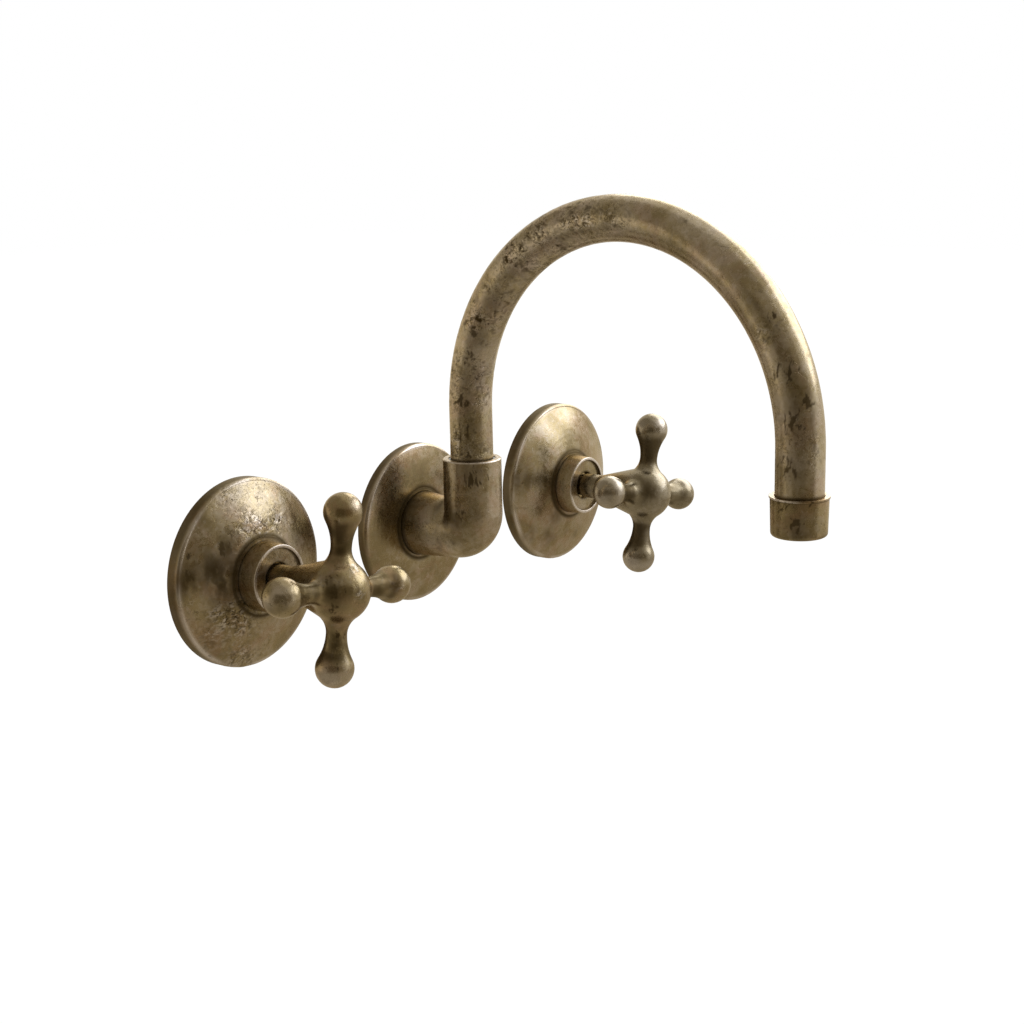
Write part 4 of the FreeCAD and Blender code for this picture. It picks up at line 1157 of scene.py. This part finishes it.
class FAUCET_OT_screen(bpy.types.Operator):
    """Weave the aerator's wire screen"""
    bl_idname = "faucet.screen"
    bl_label = "Aerator screen"

    def execute(self, context):
        size = context.scene.faucet_spout
        node = "aerator_screen"
        low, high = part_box(node)
        radius = (high.x - low.x) / 2 - size.wire
        swing = (high.z - low.z) / 2 - size.wire
        sets = [self.wires(size, radius, swing, first) for first in (0, 1)]
        points = np.vstack([made[0] for made in sets]) + np.array(middle_of(node))
        faces = np.vstack([sets[0][1], sets[1][1] + len(sets[0][0])])
        mesh_piece("woven_screen", node, points, faces, "spout", slot_material("steel", True))
        return {"FINISHED"}

    def wires(self, size, radius, swing, first):
        """Wires across a disc: each is a thin tube whose middle line rises and falls as a cosine of the place
        along it, in turn with its neighbours, and which closes to a point at both ends."""
        number = int(0.97 * radius / size.wire_pitch)
        index = np.arange(-number, number + 1)
        half = np.sqrt(radius ** 2 - (index * size.wire_pitch) ** 2)
        t = np.linspace(-1, 1, WIRE_STEPS)
        along = half[:, None] * t
        rise = swing * np.cos(math.pi * along / size.wire_pitch + math.pi * (index[:, None] + first))
        thick = size.wire * np.sqrt(np.clip(1 - np.abs(t) ** 60, 0, 1))
        angle = angles(WIRE_SIDES)
        across = (index * size.wire_pitch)[:, None, None] + thick[None, :, None] * np.cos(angle)
        high = rise[:, :, None] + thick[None, :, None] * np.sin(angle)
        long = np.repeat(along[:, :, None], len(angle), axis=2)
        order = (long, across, high) if first == 0 else (across, long, high)
        points = np.stack(order, axis=-1)
        one = grid_faces(len(t), len(angle), open_rows=True)
        faces = one[None] + (np.arange(len(index)) * len(t) * len(angle))[:, None, None]
        return points.reshape(-1, 3), faces.reshape(-1, 4)


# The stage

CAMERA_PLACE = Vector((-0.542741, -0.479189, 0.167173))
CAMERA_RIGHT = Vector((0.61131, -0.79111, -0.02097))
CAMERA_UP = Vector((0.18787, 0.11933, 0.97492))
CAMERA_AHEAD = Vector((0.76877, 0.59992, -0.22158))
SENSOR_WIDTH = 36.0
MIDDLE = Vector((0.0, -0.09, 0.03))
WINDOW_PLACE = Vector((1.09, -0.20, 0.68))
WINDOW_SIZE = (2.3, 0.95)
FLOOR_HALF = 8.0
FLOOR_GREY = 0.86
# Screens and flags by their names in StageSettings: azimuths and elevations in degrees, distance, and tint.
# Azimuth 0 is into the wall and -90 is to the left.
SCREENS = {
    "side_screen": ((-178, 20), (-35, 82), 1.6, "screen_tint"),
    "low_screen": ((-180, 180), (-89, -15), 0.5, "screen_tint"),
    "edge_strip": ((-58, 22), (-12, 14), 1.5, "screen_tint"),
    "low_flag": ((-150, -30), (-58, -15), 0.48, "screen_tint"),
    "half_flag": ((-190, -150), (-34, 24), 1.45, "flag_tint"),
    "dark_flag": ((-150, -88), (-38, 30), 1.45, "flag_tint"),
}
SCREEN_ROWS, SCREEN_COLUMNS = 17, 25


def seen_directly(tree):
    """1 for rays from the camera, from reflections and through glass, and 0 for light on matt surfaces."""
    path = add(tree, "LightPath").outputs
    seen = larger(tree, path["Is Camera Ray"], path["Is Glossy Ray"])
    return larger(tree, seen, path["Is Transmission Ray"])


class FAUCET_OT_stage(bpy.types.Operator):
    """Set the floor, the lamp, the screens, the white surroundings and the camera"""
    bl_idname = "faucet.stage"
    bl_label = "Stage"

    def execute(self, context):
        scene, settings = context.scene, context.scene.faucet_stage
        self.camera(scene, settings)
        self.surroundings(scene, settings)
        self.floor(scene, settings)
        self.window(scene, settings)
        for name, (azimuths, elevations, distance, tint) in SCREENS.items():
            glow = {"Color": rgba(getattr(settings, tint)), "Strength": getattr(settings, name)}
            self.screen(scene, name, azimuths, elevations, distance, glow)
        scene.view_settings.view_transform = "Standard"
        return {"FINISHED"}

    def camera(self, scene, settings):
        """The camera, from the place and the three directions that were found for the photo."""
        data = bpy.data.cameras.new("camera")
        data.sensor_width = SENSOR_WIDTH
        data.lens = settings.focal
        made = bpy.data.objects.new("camera", data)
        scene.collection.objects.link(made)
        turn = Matrix((CAMERA_RIGHT, CAMERA_UP, -CAMERA_AHEAD)).transposed().to_4x4()
        made.matrix_world = Matrix.Translation(CAMERA_PLACE) @ turn
        scene.camera = made

    def surroundings(self, scene, settings):
        """White all round, at full strength where it is seen and at the fill's strength on matt surfaces."""
        world = bpy.data.worlds.new("white_room")
        world.use_nodes = True
        tree = world.node_tree
        values = {"Value": seen_directly(tree), "To Min": settings.fill, "To Max": 1.0}
        strength = add(tree, "MapRange", values).outputs["Result"]
        set_inputs(tree, tree.nodes["Background"], {"Color": (1, 1, 1, 1), "Strength": strength})
        scene.world = world

    def window(self, scene, settings):
        """A rectangular soft lamp that looks at the object. Its power is radiance times pi times its area."""
        data = bpy.data.lights.new("window", "AREA")
        data.shape = "RECTANGLE"
        data.size, data.size_y = WINDOW_SIZE
        data.energy = settings.window * math.pi * math.prod(WINDOW_SIZE)
        data.color = settings.window_tint
        made = bpy.data.objects.new("window", data)
        scene.collection.objects.link(made)
        made.location = MIDDLE + WINDOW_PLACE
        made.rotation_mode = "QUATERNION"
        made.rotation_quaternion = (-WINDOW_PLACE).to_track_quat("-Z", "Y")

    def staged(self, scene, name, points, faces, material):
        """An object of the stage, which isn't part of the faucet."""
        mesh = bpy.data.meshes.new(name)
        mesh.from_pydata(points.tolist(), [], faces.tolist())
        mesh.materials.append(material)
        made = bpy.data.objects.new(name, mesh)
        scene.collection.objects.link(made)
        return made

    def floor(self, scene, settings):
        """A wide pale sheet. It keeps the shadow under the object and runs out to plain white."""
        material, tree, shader = new_material("pale_floor")
        set_inputs(tree, shader, {"Base Color": rgba((FLOOR_GREY,) * 3), "Roughness": 0.9})
        glow = add(tree, "Emission", {"Color": (1, 1, 1, 1), "Strength": 1.04})
        away = add(tree, "VectorMath", {0: object_place(tree)}, operation="LENGTH").outputs["Value"]
        part = times(tree, seen_directly(tree), ramp(tree, away, 0.8, 2.4, 0.92, 1.0))
        mix = add(tree, "MixShader", {0: part, 1: shader.outputs[0], 2: glow.outputs[0]})
        set_inputs(tree, tree.nodes["Material Output"], {"Surface": mix.outputs[0]})
        corners = FLOOR_HALF * np.array([(-1, -1), (1, -1), (1, 1), (-1, 1)])
        points = np.column_stack([corners, np.full(4, -settings.floor_drop)])
        self.staged(scene, "floor", points, np.array([[0, 1, 2, 3]]), material)

    def screen(self, scene, name, azimuths, elevations, distance, glow):
        """A patch of a sphere round the object that only shows in its reflections."""
        material, tree, shader = new_material(name)
        tree.nodes.remove(shader)
        light = add(tree, "Emission", glow)
        set_inputs(tree, tree.nodes["Material Output"], {"Surface": light.outputs[0]})
        azimuth, elevation = np.meshgrid(np.radians(np.linspace(*azimuths, SCREEN_COLUMNS)),
                                         np.radians(np.linspace(*elevations, SCREEN_ROWS)))
        flat = np.cos(elevation)
        way = np.stack([np.sin(azimuth) * flat, np.cos(azimuth) * flat, np.sin(elevation)], axis=-1)
        points = np.array(MIDDLE) + distance * way.reshape(-1, 3)
        faces = grid_faces(SCREEN_ROWS, SCREEN_COLUMNS, open_rows=True, open_columns=True)
        made = self.staged(scene, name, points, faces, material)
        made.visible_camera = made.visible_diffuse = made.visible_shadow = made.visible_transmission = False


CLASSES = (
    PlateSizes, SleeveSizes, CastSizes, SpoutSizes, ThreadSizes, AgeSizes, Finish, StageSettings,
    FAUCET_OT_finishes, FAUCET_OT_plates, FAUCET_OT_sleeves, FAUCET_OT_castings, FAUCET_OT_tube,
    FAUCET_OT_collar, FAUCET_OT_threads, FAUCET_OT_screen, FAUCET_OT_stage,
)
SETTINGS = {
    "faucet_plates": PlateSizes, "faucet_sleeves": SleeveSizes, "faucet_castings": CastSizes,
    "faucet_spout": SpoutSizes, "faucet_threads": ThreadSizes, "faucet_age": AgeSizes,
    "faucet_finish": Finish, "faucet_stage": StageSettings,
}


class FAUCET_PT_panel(bpy.types.Panel):
    """The steps that dress the faucet"""
    bl_idname = "FAUCET_PT_panel"
    bl_label = "Wall faucet"
    bl_space_type = "VIEW_3D"
    bl_region_type = "UI"
    bl_category = "Faucet"

    def draw(self, context):
        for made in CLASSES:
            if issubclass(made, bpy.types.Operator):
                self.layout.operator(made.bl_idname)


def register():
    """Add the classes and the groups of settings to Blender."""
    for made in (*CLASSES, FAUCET_PT_panel):
        bpy.utils.register_class(made)
    for name, kind in SETTINGS.items():
        setattr(bpy.types.Scene, name, PointerProperty(type=kind))


def unregister():
    """Take them out again."""
    for name in SETTINGS:
        delattr(bpy.types.Scene, name)
    for made in reversed((*CLASSES, FAUCET_PT_panel)):
        bpy.utils.unregister_class(made)


def main():
    """Run every step in order."""
    register()
    for made in CLASSES:
        if issubclass(made, bpy.types.Operator):
            group, step = made.bl_idname.split(".")
            getattr(getattr(bpy.ops, group), step)()


if __name__ == "__main__":
    main()
